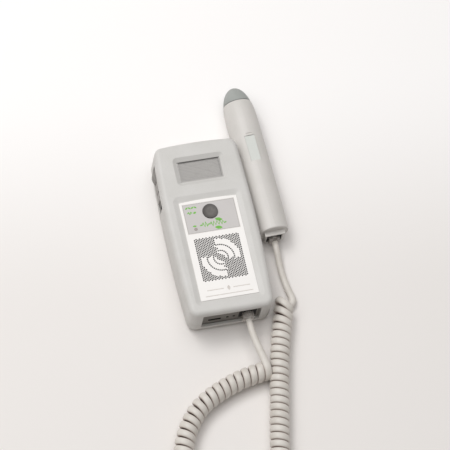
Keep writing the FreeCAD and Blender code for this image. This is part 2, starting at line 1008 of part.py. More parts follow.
def make_speaker():
    rim = size.speaker_diameter / 2
    top = front_inside
    bottom = top - size.speaker_depth
    seat = rim - 2.7
    well = size.magnet_diameter / 2
    frame = turned(
        "speaker_frame",
        [
            (rim, top),
            (rim, top - 1.2),
            (seat + 0.8, top - 1.2),
            (well + 0.4, bottom),
            (4, bottom),
            (4, bottom + 0.8),
            (well, bottom + 0.8),
            (seat, top - 0.9),
            (seat, top),
        ],
    )
    cone = turned(
        "speaker_cone",
        [
            (seat, top - 0.3),
            (seat, top - 0.8),
            (5, bottom + 2.0),
            (0, bottom + 3.0),
            (0, bottom + 3.4),
            (5, bottom + 2.5),
        ],
    )
    magnet = rod("speaker_magnet", (0, grille_y, bottom - size.magnet_depth),
                 size.magnet_diameter, size.magnet_depth)
    for piece in (frame, cone):
        bind(piece, ".Placement.Base.y", grille_y)
    for piece in (frame, cone, magnet):
        keep(piece)


def make_board():
    plate = box(
        "board_plate",
        around(0, board_width),
        (board_near, board_far),
        (board_bottom, size.board_top),
    )
    clear = size.boss_diameter + 2
    notches = [
        rod(f"board_notch_{index}", (x, y, board_bottom - 1), clear, size.board_thickness + 2)
        for index, (x, y) in enumerate(screw_places[2:])
    ]
    screws = []
    for index, (x, y) in enumerate(board_posts):
        start = (x, y, board_bottom - 1)
        bore = size.board_screw_diameter + 2 * size.fit_gap
        notches.append(rod(f"board_hole_{index}", start, bore, size.board_thickness + 2))
        thread = size.board_screw_diameter
        start = (x, y, board_bottom - thread * 0.7)
        head = rod(f"board_screw_head_{index}", start, thread * 2, thread * 0.7)
        shank = rod(f"board_screw_shank_{index}", start, thread, thread * 3)
        screws.append(fuse(f"board_screw_{index}", head, shank))
    keep(cut("main_board", plate, *notches))
    keep(group("board_screws", *screws))
    top = size.board_top
    unit = size.chip_size
    tall = size.chip_height
    chips = []
    for name, x, up, width, reach in (
        ("processor", -board_width / 4, 1.6, 1.0, 1.0),
        ("amplifier", board_width / 4, 0.75, 0.8, 0.6),
        ("memory", board_width / 4, 1.8, 0.6, 0.5),
        ("regulator", -board_width / 3, 2.8, 0.5, 0.6),
    ):
        y = around(board_near + unit * up, unit * reach)
        chips.append(box("chip_" + name, around(x, unit * width), y, (top, top + tall)))
    place = (board_width / 3, board_near + unit * 2.7, top)
    chips.append(rod("chip_capacitor", place, unit / 2, tall * 4))
    keep(group("board_chips", *chips))


# ---------- control strip ----------


def make_strip():
    gap = size.fit_gap
    y = (strip_near, strip_far)
    z = (size.strip_low, size.strip_high)
    edge = size.strip_flange
    band = ring("strip_band", size.strip_sink, size.side_wall, z[0] - 3, z[1] + 3)
    back_band = ring("strip_back_band", size.side_wall + gap / 2, size.side_wall + edge, z[0] - 3, z[1] + 3)
    left = (-half_width - 5, -half_width + 8)
    face = common("strip_face", band, box("strip_window", left, y, z))
    flange_space = box(
        "strip_flange_space", left, (y[0] - edge, y[1] + edge), (z[0] - edge, z[1] + edge)
    )
    filler = ring("strip_filler_band", size.side_wall - 0.5, size.side_wall + 0.5, z[0] - 3, z[1] + 3)
    filler_space = box("strip_filler_space", left, (y[0] + 0.2, y[1] - 0.2), (z[0] + 0.2, z[1] - 0.2))
    plate = fuse(
        "strip_plate",
        face,
        common("strip_flange_ring", back_band, flange_space),
        common("strip_filler", filler, filler_space),
    )
    key_slots = [
        box(
            f"key_slot_{index}",
            left,
            around(place, size.key_length + 0.4),
            (size.key_low - 0.2, size.key_high + 0.2),
        )
        for index, place in enumerate((key_first_y, key_second_y))
    ]
    phone = rod(
        "phone_hole",
        (-half_width - 5, phone_y, size.phone_z),
        size.phone_nose + 2 * gap,
        13,
        "x",
    )
    keep(cut("control_bezel", plate, wheel_space("strip"), *key_slots, phone))


def make_wheel():
    body = new_body("volume_wheel")
    disc = sketch_in(body, "wheel_disc")
    circle(disc, size.wheel_radius)
    circle(disc, size.wheel_shaft_diameter / 2 + 0.06)
    pad(body, disc, size.wheel_thickness)
    doc.recompute()
    notch_sketch = sketch_in(body, "wheel_notch")
    circle(notch_sketch, 0.45, size.wheel_radius, 0)
    notch = body.newObject("PartDesign::Pocket", "wheel_notch_cut")
    notch.Profile = notch_sketch
    notch.Type = "ThroughAll"
    notch.Midplane = True
    doc.recompute()
    pattern = body.newObject("PartDesign::PolarPattern", "wheel_notches")
    pattern.Originals = [notch]
    pattern.Axis = (notch_sketch, ["N_Axis"])
    pattern.Angle = 360
    pattern.Occurrences = 30
    body.Tip = pattern
    for axis, place in zip("xyz", (wheel_x, wheel_y, size.wheel_low)):
        bind(body, ".Placement.Base." + axis, place)
    keep(body)
    wheel_top = size.wheel_low + size.wheel_thickness
    pot_low = wheel_top + 0.2
    block = box(
        "pot_block",
        (wheel_x - 1.9, wheel_x - 1.9 + size.pot_size),
        around(wheel_y, size.pot_size),
        (pot_low, board_bottom),
    )
    shaft_low = size.wheel_low - 0.9
    shaft = rod(
        "pot_shaft",
        (wheel_x, wheel_y, shaft_low),
        size.wheel_shaft_diameter,
        pot_low - shaft_low + 0.5,
    )
    end = rod("pot_shaft_end", (wheel_x, wheel_y, shaft_low), 4.4, 0.7)
    keep(fuse("volume_pot", block, shaft, end))


def make_keys():
    gap = size.fit_gap
    middle = (size.key_low + size.key_high) / 2
    board_x = -side_reach(key_first_y) + 7.7
    switch_x = board_x - 2.6
    blocks = []
    for number, place in ((1, key_first_y), (2, key_second_y)):
        outer = -side_reach(place) + size.strip_sink - size.key_proud
        back = switch_x - size.key_travel - 0.3
        flange_front = back - size.key_flange
        y = around(place, size.key_length)
        short_y = (y[0], y[1] - 1.7)
        cap = box(f"key_cap_{number}", (outer, outer + 2.4), y, (size.key_low, size.key_high))
        neck = box(f"key_neck_{number}", (outer + 2, back), short_y, (size.key_low + 1, size.key_high - 1))
        flange = box(
            f"key_rim_{number}", (flange_front, back), short_y, (size.key_low - 0.6, size.key_high + 0.6)
        )
        switch_y = place - 0.9
        reach = switch_x + 0.5 - back + 0.2
        start = (back - 0.2, switch_y, middle)
        stem = rod(f"key_stem_{number}", start, size.key_stem_diameter, reach, "x")
        keep(fuse(f"side_key_{number}", cap, neck, flange, stem))
        block = box(
            f"key_switch_block_{number}",
            (switch_x, board_x),
            around(switch_y, size.switch_size),
            around(middle, size.switch_size),
        )
        start = (switch_x - 1, switch_y, middle)
        bore = size.key_stem_diameter + 2 * gap
        depth = 1 + 0.5 + size.key_travel + 0.3
        hole = rod(f"key_switch_bore_{number}", start, bore, depth, "x")
        blocks.append(cut(f"key_switch_{number}", block, hole))
    keep(group("key_switches", *blocks))
    keep(
        box(
            "key_board",
            (board_x, board_x + size.small_board_thickness),
            (key_second_y - 4.4, key_first_y + 1.8),
            (middle - 5.6, board_bottom),
        )
    )


def make_phone_jack():
    front = -side_reach(phone_y) + size.side_wall + size.strip_flange + 0.1
    block = box(
        "phone_block",
        (front, front + size.phone_depth),
        around(phone_y, 6.6),
        (size.phone_z - 3.6, board_bottom),
    )
    nose_start = -side_reach(phone_y) + size.strip_sink + 0.1
    nose = rod(
        "phone_nose_ring",
        (nose_start, phone_y, size.phone_z),
        size.phone_nose,
        front - nose_start + 0.5,
        "x",
    )
    bore = rod(
        "phone_bore_hole",
        (nose_start - 1, phone_y, size.phone_z),
        size.phone_bore,
        size.phone_depth,
        "x",
    )
    keep(cut("headphone_jack", fuse("phone_jack_body", block, nose), bore))


# ---------- jack panel in the near end ----------


def modular_socket(prefix, x, y_start, z, depth):
    """The hollow that a modular plug and its latch slide into."""
    gap = 0.2
    mouth = box(
        prefix + "_mouth",
        around(x, size.plug_width + 2 * gap),
        (y_start - 1, y_start + depth),
        around(z, size.plug_height + 2 * gap),
    )
    notch = box(
        prefix + "_latch_notch",
        around(x, 4.2),
        (y_start - 1, y_start + depth - 1),
        (z, z + size.plug_height / 2 + 2.4),
    )
    return [mouth, notch]


def make_panel():
    gap = size.fit_gap
    border = size.panel_border
    back = panel_front + size.panel_thickness
    plate = box(
        "panel_plate",
        around(0, size.end_opening_width + 2 * border + 2),
        (panel_front, back),
        (size.end_opening_low - border, size.end_opening_high + border / 2 - 0.1),
    )
    jack_x = around(size.jack_x, size.jack_width)
    jack_z = (size.jack_low, size.jack_high)
    holes = [
        box(
            "panel_jack_hole",
            (jack_x[0] - gap, jack_x[1] + gap),
            (panel_front - 1, back + 1),
            (jack_z[0] - gap, jack_z[1] + gap),
        ),
        box(
            "panel_port_hole",
            around(size.port_x, size.port_width),
            (panel_front - 1, back + 1),
            around(size.port_z, size.port_height),
        ),
    ]
    pins = []
    for number, x in ((1, size.pin_first_x), (2, size.pin_second_x)):
        start = (x, panel_front - 1, size.pin_z)
        bore = size.pin_diameter + 0.1
        holes.append(rod(f"panel_pin_hole_{number}", start, bore, size.panel_thickness + 2, "y"))
        start = (x, panel_front - 0.2, size.pin_z)
        pin = rod(f"panel_pin_{number}", start, size.pin_diameter, size.panel_thickness + 2.2, "y")
        collar = rod(f"panel_pin_collar_{number}", (x, back, size.pin_z), size.pin_diameter + 1.6, 1, "y")
        pins.append(fuse(f"panel_pin_whole_{number}", pin, collar))
    keep(cut("jack_panel", plate, *holes))
    keep(group("panel_pins", *pins))
    block = box("unit_jack_block", jack_x, (panel_front - 0.1, panel_front + size.jack_depth), jack_z)
    ears = box(
        "unit_jack_ears",
        (jack_x[0] - 1.2, jack_x[1] + 1.2),
        (back, back + 1.4),
        jack_z,
    )
    socket = modular_socket("unit_socket", size.jack_x, panel_front, size.jack_z, size.jack_depth - 1.8)
    keep(cut("unit_jack", fuse("unit_jack_body", block, ears), *socket))
    port_body = box(
        "port_block",
        around(size.port_x, size.port_width + 2),
        (back, back + size.port_depth),
        around(size.port_z, size.port_height + 2.4),
    )
    slot = box(
        "port_slot",
        around(size.port_x, size.port_width - 1),
        (back - 1, back + size.port_depth - 1.2),
        around(size.port_z, size.port_height - 0.6),
    )
    keep(cut("charge_port", port_body, slot))


# ---------- batteries and screws ----------


def make_batteries():
    middle = size.door_sink + size.door_thickness + 0.3 + size.cell_diameter / 2
    plate = size.contact_thickness
    free = 0.05
    cells = []
    contacts = []
    for number, side in enumerate((-1, 0, 1), start=1):
        x = side * size.cell_pitch
        nub = 1.2
        nub_far = side != 0
        sprung_end = size.spring_length if nub_far else length(0)
        start = cells_near + plate + free / 2 + sprung_end
        can_start = start if nub_far else start + nub
        can = rod(f"cell_can_{number}", (x, can_start, middle), size.cell_diameter,
                  size.cell_length - nub - free, "y")
        tip_start = can_start + size.cell_length - nub - free - 0.5 if nub_far else start
        tip = rod(f"cell_tip_{number}", (x, tip_start, middle), size.cell_diameter * 0.38, nub + 0.5, "y")
        cells.append(fuse(f"cell_{number}", can, tip))
        spring_start = cells_near + plate if nub_far else cells_far - plate - size.spring_length
        wide = size.cell_diameter * 0.42
        contacts.append(rod(f"spring_{number}", (x, spring_start, middle), wide, size.spring_length, "y"))
    tall = size.cell_diameter - 3.2
    for name, start in (("near", cells_near + 0.02), ("far", cells_far - plate)):
        contacts.append(
            box(
                f"contact_plate_{name}",
                around(0, 2 * size.cell_pitch + tall),
                (start, start + plate - 0.02),
                around(middle, tall),
            )
        )
    keep(group("battery_cells", *cells))
    near_side = fuse("contacts_near", contacts[0], contacts[2], contacts[3])
    far_side = fuse("contacts_far", contacts[1], contacts[4])
    keep(group("battery_contacts", near_side, far_side))


def make_screws():
    screws = []
    for index, (x, y) in enumerate(screw_places):
        low = size.screw_seat - size.screw_head_height
        head = rod(f"screw_head_{index}", (x, y, low), size.screw_head_diameter, size.screw_head_height)
        reach = size.screw_head_height + size.screw_length
        shank = rod(f"screw_shank_{index}", (x, y, low), size.screw_diameter, reach)
        drive = box(
            f"screw_slot_{index}", around(x, 3), around(y, 0.8), (low - 1, low + 0.9)
        )
        screws.append(cut(f"screw_{index}", fuse(f"screw_blank_{index}", head, shank), drive))
    keep(group("housing_screws", *screws))


# ---------- modular plugs ----------


def make_plug(name):
    """A clear modular plug along +X from its rear face, and its contact blades."""
    half_high = size.plug_height / 2
    body = new_body(name + "_moulding")
    block = sketch_in(body, name + "_side", "XZ_Plane")
    nose = size.plug_length
    polygon(block, [(0, -half_high), (nose, -half_high), (nose, half_high), (0, half_high)])
    pad(body, block, size.plug_width, midplane=True)
    latch = sketch_in(body, name + "_latch_side", "XZ_Plane")
    polygon(
        latch,
        [
            (1.0, half_high + 1.0),
            (nose - 0.8, half_high - 0.4),
            (nose - 0.4, half_high + 0.5),
            (nose - 4.2, half_high + 1.0),
            (1.0, half_high + 1.9),
        ],
    )
    pad(body, latch, 3.4, midplane=True)
    slots = []
    blades = []
    for index in range(4):
        y = (index - 1.5) * 1.27
        x = (nose - 4.4, nose - 1.2)
        slots.append(box(f"{name}_slot_{index}", x, around(y, 0.5), (-half_high - 1, -half_high + 2.6)))
        blades.append(box(f"{name}_blade_{index}", x, around(y, 0.5), (-half_high + 0.1, -half_high + 2.6)))
    return cut(name, body, *slots), group(name + "_contacts", *blades)


def set_place(piece, base, turn):
    """Puts a piece at a base point, turned about Z by a number of degrees."""
    piece.Placement = Placement(Vector(), Rotation(Vector(0, 0, 1), length(turn).value))
    for axis, place in zip("xyz", base):
        bind(piece, ".Placement.Base." + axis, place)
    bind(piece, ".Placement.Rotation.Angle", turn)


# ---------- probe ----------

probe_turn = size.probe_lean + 90
probe_base = (half_width + size.probe_set, size.probe_y, size.probe_radius)
lean = math.radians(size.probe_lean.value)
seal_start = size.probe_seam - size.seal_thickness


def probe_point(along, side, up):
    """A place given in the probe's own directions: towards its tip, to its left, up."""
    forward = Vector(-math.sin(lean), math.cos(lean), 0)
    left = Vector(-math.cos(lean), -math.sin(lean), 0)
    base = Vector(*(length(place).value for place in probe_base))
    return base + forward * along + left * side + Vector(0, 0, up)


def tube_turned(name, points):
    """A solid turned about X from a half profile of place along the probe and radius."""
    body = new_body(name)
    sketch = sketch_in(body, name + "_profile", "XZ_Plane")
    polygon(sketch, points)
    feature = body.newObject("PartDesign::Revolution", name + "_turn")
    feature.Profile = sketch
    feature.ReferenceAxis = (sketch, ["H_Axis"])
    feature.Angle = 360
    return body


def make_probe():
    wall = size.probe_wall
    seam_radius = size.probe_seam_radius
    waist = size.probe_radius
    end_radius = size.probe_end_radius
    seam = size.probe_seam
    shoulder = size.probe_shoulder
    drop = waist - seam_radius
    blank = tube_turned(
        "probe_blank",
        [
            (0, end_radius - 0.6),
            (0.3, end_radius - 0.2),
            (0.8, end_radius),
            (seam * 0.2, waist - 0.25),
            (seam * 0.36, waist - 0.1),
            (seam * 0.65, waist),
            (seam - shoulder, waist - drop * 0.05),
            (seam - shoulder * 0.6, waist - drop * 0.2),
            (seam - shoulder * 0.38, waist - drop * 0.38),
            (seam - shoulder * 0.18, waist - drop * 0.62),
            (seal_start, seam_radius + 0.1),
            (seal_start, seam_radius - wall),
            (seam - 8, seam_radius - wall),
            (seam * 0.8, waist - wall),
            (0, waist - wall),
        ],
    )
    patch_z = waist - size.patch_sink
    patch_x = (size.patch_start, size.patch_start + size.patch_length)
    recess = box("patch_recess", (patch_x[0] - 0.2, patch_x[1] + 0.2),
                 around(0, size.patch_width + 0.4), (patch_z - 0.3, waist + 1))
    notch = rod("thumb_notch", (patch_x[1] + 1.6, -2.6, waist + 0.3), 2.0, 5.2, "y")
    body = cut("probe_shell", blank, recess, notch)
    patch = box("probe_patch", patch_x, around(0, size.patch_width), (patch_z - 0.3, patch_z + 0.1))

    spigot_radius = seam_radius - wall - size.fit_gap
    spigot_start = size.probe_seam - 6
    spigot = rod("tip_spigot", (spigot_start, 0, 0), spigot_radius * 2, 6.5, "x")
    crystal_seat = size.probe_seam + 6
    crystal_end = crystal_seat + size.crystal_thickness
    hollow = rod("tip_hollow", (spigot_start - 1, 0, 0),
                 2 * size.crystal_radius + 2 * size.fit_gap, crystal_end - spigot_start + 1, "x")
    tip = cut("tip_piece", fuse("tip_with_spigot", make_dome(), spigot), hollow)
    seal = tube_turned(
        "seal_ring",
        [
            (seal_start, spigot_radius),
            (size.probe_seam, spigot_radius),
            (size.probe_seam, seam_radius - 0.3),
            (seal_start, seam_radius - 0.3),
        ],
    )
    backing_start = size.probe_seam - 10
    backing = rod("backing_rod", (backing_start, 0, 0), 2 * size.crystal_radius,
                  crystal_seat - backing_start, "x")
    discs = []
    for number, y in ((1, (0.4, 20)), (2, (-20, -0.4))):
        disc = rod(f"crystal_disc_{number}", (crystal_seat, 0, 0), 2 * size.crystal_radius,
                   size.crystal_thickness, "x")
        half = box(f"crystal_half_{number}", (crystal_seat - 1, crystal_end + 1), y, around(0, 40))
        discs.append(common(f"crystal_{number}", disc, half))
    crystals = group("crystal_pair", *discs)

    cap, jack, jack_back = make_probe_end(waist, wall)
    board_x = (jack_back, backing_start)
    board_z = around(4.3 - size.socket_drop, size.small_board_thickness)
    board = box("probe_board_plate", board_x, around(0, size.probe_board_width), board_z)
    plug, contacts = make_plug("probe_plug")
    for name, piece in (
        ("probe_body", body),
        ("probe_label", patch),
        ("probe_tip", tip),
        ("tip_seal", seal),
        ("probe_backing", backing),
        ("probe_crystals", crystals),
        ("probe_end_cap", cap),
        ("probe_jack", jack),
        ("probe_board", board),
    ):
        place_on_probe(name, piece)
    for piece in (plug, contacts):
        place = probe_point(-size.plug_tail.value, 0, -size.socket_drop.value)
        piece.Placement = Placement(place, Rotation(Vector(0, 0, 1), probe_turn.value))
        keep(piece)


def make_dome():
    """The nose: the far part of half an ellipse turned about the probe's axis."""
    start = size.probe_seam - size.nose_tuck
    share = size.nose_tuck / (size.probe_length - start)
    radius = size.probe_seam_radius / root(1 - share * share)
    body = new_body("tip_dome")
    sketch = sketch_in(body, "tip_dome_profile", "XZ_Plane")
    centre = Vector(start.value, 0, 0)
    reach = Vector(size.probe_length.value, 0, 0)
    rim = centre + Vector(0, radius.value, 0)
    sketch.addGeometry(Part.ArcOfEllipse(Part.Ellipse(reach, rim, centre), 0, math.pi / 2))
    sketch.addGeometry(Part.LineSegment(rim, centre))
    sketch.addGeometry(Part.LineSegment(centre, reach))
    join_points(sketch, "Coincident", (0, 2), (1, 1))
    join_points(sketch, "Coincident", (1, 2), (2, 1))
    join_points(sketch, "Coincident", (2, 2), (0, 1))
    pin_point(sketch, 1, 1, start, radius)
    pin_point(sketch, 2, 1, start, 0)
    pin_point(sketch, 2, 2, size.probe_length, 0)
    feature = body.newObject("PartDesign::Revolution", "tip_dome_turn")
    feature.Profile = sketch
    feature.ReferenceAxis = (sketch, ["H_Axis"])
    feature.Angle = 360
    across = around(0, size.probe_radius * 4)
    return common("nose", body, box("nose_space", (size.probe_seam, size.probe_length + 1), across, across))


def make_probe_end(waist, wall):
    """The end cap with its jack block, and the jack set in it."""
    disc = rod("cap_disc", (0, 0, 0), 2 * (waist - wall - size.fit_gap), 2.4, "x")
    block = new_body("cap_block")
    face = sketch_in(block, "cap_block_face", "YZ_Plane", -size.block_reach)
    half = size.block_width / 2
    bottom = 2.2 - size.probe_end_radius
    polygon(
        face,
        [
            (-half, size.block_top),
            (half, size.block_top),
            (half, size.block_top - 4),
            (half - 0.8, bottom),
            (0.8 - half, bottom),
            (-half, size.block_top - 4),
        ],
    )
    pad(block, face, size.block_reach)
    lip = box("cap_lip", (-size.block_reach - 0.7, 0.5), around(0, size.block_width + 0.6),
              (size.block_top - 1.2, size.block_top + 0.2))
    socket_z = -size.socket_drop
    jack_front = -size.block_reach + 0.3
    jack_back = size.plug_length - size.plug_tail + size.socket_end
    jack_z = (socket_z - size.plug_height / 2 - 0.8, socket_z + size.plug_height / 2 + 3.2)
    gap = size.fit_gap
    seat = box("cap_seat", (-size.block_reach - 1, 4),
               around(0, size.probe_jack_width + 2 * gap), jack_z)
    cap = cut("end_cap_piece", fuse("cap_whole", disc, block, lip), seat)
    jack_block = box("probe_jack_block", (jack_front, jack_back), around(0, size.probe_jack_width),
                     (jack_z[0] + gap, jack_z[1] - gap))
    mouth = box("probe_mouth", (jack_front - 1, size.plug_length - size.plug_tail + 1),
                around(0, size.plug_width + 0.4), around(socket_z, size.plug_height + 0.4))
    notch = box("probe_latch_notch", (jack_front - 1, size.plug_length - size.plug_tail),
                around(0, 4.2), (socket_z, socket_z + size.plug_height / 2 + 2.4))
    jack = cut("probe_jack_piece", jack_block, mouth, notch)
    return cap, jack, jack_back


def place_on_probe(name, piece):
    """Wraps a piece drawn in the probe's own directions and lays it beside the case."""
    wrapped = group(name, piece)
    set_place(wrapped, probe_base, probe_turn)
    return keep(wrapped)


# ---------- cord ----------


def route_wire(points):
    """Straight runs joined by tangent arcs, each as large as its two runs allow."""
    places = [Vector(*point) for point in points]
    edges = []
    radii = []
    start = places[0]
    for before, corner, after in zip(places, places[1:], places[2:]):
        back = before - corner
        onward = after - corner
        turn = math.pi - back.getAngle(onward)
        room = 0.45 * min(back.Length, onward.Length)
        back.normalize()
        onward.normalize()
        radius = room / math.tan(turn / 2)
        bisector = (back + onward).normalize()
        centre = corner + bisector * (radius / math.cos(turn / 2))
        first = corner + back * room
        last = corner + onward * room
        edges.append(Part.LineSegment(start, first).toShape())
        edges.append(Part.Arc(first, centre - bisector * radius, last).toShape())
        radii.append(round(radius, 1))
        start = last
    edges.append(Part.LineSegment(start, places[-1]).toShape())
    return Part.Wire(edges), radii


def tube(name, points, diameter):
    """A solid tube along a route; its volume is compared with its section times its length."""
    wire, radii = route_wire(points)
    start = Vector(*points[0])
    heading = (Vector(*points[1]) - start).normalize()
    section = Part.Wire(Part.makeCircle(diameter.value / 2, start, heading))
    solid = wire.makePipeShell([section], True, True)
    expected = math.pi * diameter.value**2 / 4 * wire.Length
    ratio = solid.Volume / expected
    print(f"{name}: length {wire.Length:.1f}, volume / expected {ratio:.4f}, radii {radii}")
    feature = doc.addObject("Part::Feature", name)
    feature.Shape = solid
    return keep(feature)


def make_cord():
    plug, contacts = make_plug("unit_plug")
    rear = panel_front - size.plug_tail
    for piece in (plug, contacts):
        set_place(piece, (size.jack_x, rear, size.jack_z), length(90))
        keep(piece)
    exits = [(size.jack_x.value, (rear - out).value, size.jack_z.value) for out in (0, size.cord_straight)]
    tube("cord_tail_unit", [*exits, *UNIT_TAIL], size.cord_diameter)
    height = size.coil_diameter.value / 2
    tube("cord_coil", [(x, y, height) for x, y in COIL], size.coil_diameter)
    exits = [
        tuple(probe_point(-(size.plug_tail + out).value, 0, -size.socket_drop.value))
        for out in (0, size.cord_straight)
    ]
    tube("cord_tail_probe", [*exits, *PROBE_TAIL], size.cord_diameter)


# ---------- build, check and write ----------


def check_document():
    for item in doc.Objects:
        if "Invalid" in item.State or "Error" in item.State:
            raise RuntimeError(f"{item.Name} did not compute: {item.State}")
    for piece in nodes:
        shape = piece.Shape
        if shape.isNull() or not shape.isValid() or shape.Volume <= 0:
            raise RuntimeError(f"{piece.Name} has no valid solid")


def write_parts():
    os.makedirs("parts", exist_ok=True)
    for piece in nodes:
        piece.Shape.exportStep(os.path.join("parts", piece.Label + ".step"))
        print(piece.Label, len(piece.Shape.Solids), round(piece.Shape.Volume, 1))


make_housings()
make_display()
make_label()
make_button()
make_led()
make_speaker()
make_board()
make_strip()
make_wheel()
make_keys()
make_phone_jack()
make_panel()
make_batteries()
make_screws()
make_probe()
make_cord()
doc.recompute()
check_document()
write_parts()
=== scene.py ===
import bpy
import math
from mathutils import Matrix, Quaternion, Vector


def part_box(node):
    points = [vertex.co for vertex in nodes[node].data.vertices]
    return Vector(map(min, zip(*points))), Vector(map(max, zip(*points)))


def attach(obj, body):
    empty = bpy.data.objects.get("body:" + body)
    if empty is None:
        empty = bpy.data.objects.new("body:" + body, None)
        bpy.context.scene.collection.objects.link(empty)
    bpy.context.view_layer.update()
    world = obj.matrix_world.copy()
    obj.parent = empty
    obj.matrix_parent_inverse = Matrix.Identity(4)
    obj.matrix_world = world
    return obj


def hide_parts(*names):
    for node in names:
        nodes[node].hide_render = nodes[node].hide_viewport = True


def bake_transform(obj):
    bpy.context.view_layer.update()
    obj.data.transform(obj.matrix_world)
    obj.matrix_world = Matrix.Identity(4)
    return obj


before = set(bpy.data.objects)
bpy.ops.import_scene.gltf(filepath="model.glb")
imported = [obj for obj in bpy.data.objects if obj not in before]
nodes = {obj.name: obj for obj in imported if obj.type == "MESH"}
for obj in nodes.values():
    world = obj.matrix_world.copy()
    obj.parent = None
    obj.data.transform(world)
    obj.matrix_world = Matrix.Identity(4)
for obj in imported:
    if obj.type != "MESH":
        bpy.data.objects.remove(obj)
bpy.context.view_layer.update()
mm = 0.001
print("frame loaded:", len(nodes), "nodes")


def linear(rgb):  # screen colour 0-255 to the shader's own scale
    out = []
    for value in rgb:
        part = value / 255
        out.append(part / 12.92 if part <= 0.04045 else ((part + 0.055) / 1.055) ** 2.4)
    return (*out, 1.0)


# building blocks for the finishes

def startFinish(name):
    mat = bpy.data.materials.new(name)
    mat.use_nodes = True
    tree = mat.node_tree
    return mat, tree, tree.nodes["Principled BSDF"]


def addNode(tree, kind, **settings):
    node = tree.nodes.new(kind)
    for key, value in settings.items():
        setattr(node, key, value)
    return node


def maths(tree, operation, first, second=None, third=None):
    node = addNode(tree, "ShaderNodeMath", operation=operation)
    for socket, value in zip(node.inputs, (first, second, third)):
        if value is None:
            continue
        if isinstance(value, (int, float)):
            socket.default_value = value
        else:
            tree.links.new(value, socket)
    return node.outputs[0]


def place(tree):
    return addNode(tree, "ShaderNodeTexCoord").outputs["Object"]


def axes(tree):
    parts = addNode(tree, "ShaderNodeSeparateXYZ")
    tree.links.new(place(tree), parts.inputs[0])
    return parts.outputs["X"], parts.outputs["Y"], parts.outputs["Z"]


def noise(tree, scale, detail=2.0, stretch=None):
    tex = addNode(tree, "ShaderNodeTexNoise")
    tex.inputs["Scale"].default_value = scale
    tex.inputs["Detail"].default_value = detail
    where = place(tree)
    if stretch:
        mapping = addNode(tree, "ShaderNodeMapping")
        mapping.inputs["Scale"].default_value = stretch
        tree.links.new(where, mapping.inputs["Vector"])
        where = mapping.outputs["Vector"]
    tree.links.new(where, tex.inputs["Vector"])
    return tex.outputs["Fac"]


def spread(tree, source, low, high, fromLow=0.3, fromHigh=0.7):
    ranger = addNode(tree, "ShaderNodeMapRange")
    tree.links.new(source, ranger.inputs["Value"])
    limits = {"From Min": fromLow, "From Max": fromHigh, "To Min": low, "To Max": high}
    for key, value in limits.items():
        ranger.inputs[key].default_value = value
    return ranger.outputs["Result"]


def blendColours(tree, amount, first, second):
    mixer = addNode(tree, "ShaderNodeMix", data_type="RGBA")
    tree.links.new(amount, mixer.inputs["Factor"])
    for key, colour in (("A", first), ("B", second)):
        socket = next(s for s in mixer.inputs if s.name == key and s.type == "RGBA")
        if isinstance(colour, tuple):
            socket.default_value = linear(colour)
        else:
            tree.links.new(colour, socket)
    return next(s for s in mixer.outputs if s.type == "RGBA")


def bump(tree, shader, height, strength, distance):
    bumper = addNode(tree, "ShaderNodeBump")
    bumper.inputs["Strength"].default_value = strength
    bumper.inputs["Distance"].default_value = distance
    tree.links.new(height, bumper.inputs["Height"])
    tree.links.new(bumper.outputs["Normal"], shader.inputs["Normal"])


def insideBand(tree, source, low, high):
    return maths(tree, "MULTIPLY", maths(tree, "GREATER_THAN", source, low * mm),
                 maths(tree, "LESS_THAN", source, high * mm))


def insideBox(tree, x, y):
    alongX, alongY, _ = axes(tree)
    return maths(tree, "MULTIPLY", insideBand(tree, alongX, *x), insideBand(tree, alongY, *y))


def away(tree, x, y):  # distance in plan from a spot, in metres
    alongX, alongY, _ = axes(tree)
    overX = maths(tree, "SUBTRACT", alongX, x * mm)
    overY = maths(tree, "SUBTRACT", alongY, y * mm)
    return maths(tree, "SQRT", maths(tree, "ADD", maths(tree, "MULTIPLY", overX, overX),
                                     maths(tree, "MULTIPLY", overY, overY)))


def dress(names, mat):
    for name in names:
        node = nodes[name]
        node.data.materials.clear()
        node.data.materials.append(mat)


# camera

cameraLook = {
    "place": (-0.4293, -0.86854, 2.1667),
    "aim": (0.01551, 0.01156, 0.0),
    "roll": 15.74,
    "lens": 242.8,
    "sensor": 36,
    "clipStart": 0.1,
}


def makeCamera(look):
    cam = bpy.data.objects.new("camera", bpy.data.cameras.new("camera"))
    bpy.context.scene.collection.objects.link(cam)
    cam.location = look["place"]
    facing = (Vector(look["aim"]) - cam.location).to_track_quat("-Z", "Y")
    cam.rotation_mode = "QUATERNION"
    cam.rotation_quaternion = facing @ Quaternion((0, 0, 1), math.radians(look["roll"]))
    cam.data.lens = look["lens"]
    cam.data.sensor_width = look["sensor"]
    cam.data.clip_start = look["clipStart"]
    bpy.context.scene.camera = cam


makeCamera(cameraLook)
print("camera set")

# floor and soft light

studioLook = {
    "keyPlace": (-0.6, 0.9, 1.7),
    "keySize": 0.8,
    "keyPower": 10.0,
    "leftPlace": (-1.0, 0.15, 1.6),
    "leftSize": 1.1,
    "leftPower": 6.5,
    "topPlace": (-0.1, 0.35, 1.9),
    "topSize": 2.0,
    "topPower": 16.0,
    "skyStrength": 0.3,
    "skyColour": (255, 253, 251),
    "floorNearShade": (238, 234, 231),
    "floorFarLight": (254, 252, 251),
    "floorLightFade": (-0.06, 0.15),
    "floorSize": 6.0,
}


def makeLamp(name, where, width, power):
    lamp = bpy.data.lights.new(name, "AREA")
    lamp.shape = "DISK"
    lamp.size = width
    lamp.energy = power
    obj = bpy.data.objects.new(name, lamp)
    bpy.context.scene.collection.objects.link(obj)
    obj.location = where
    obj.rotation_mode = "QUATERNION"
    obj.rotation_quaternion = (-obj.location).to_track_quat("-Z", "Y")


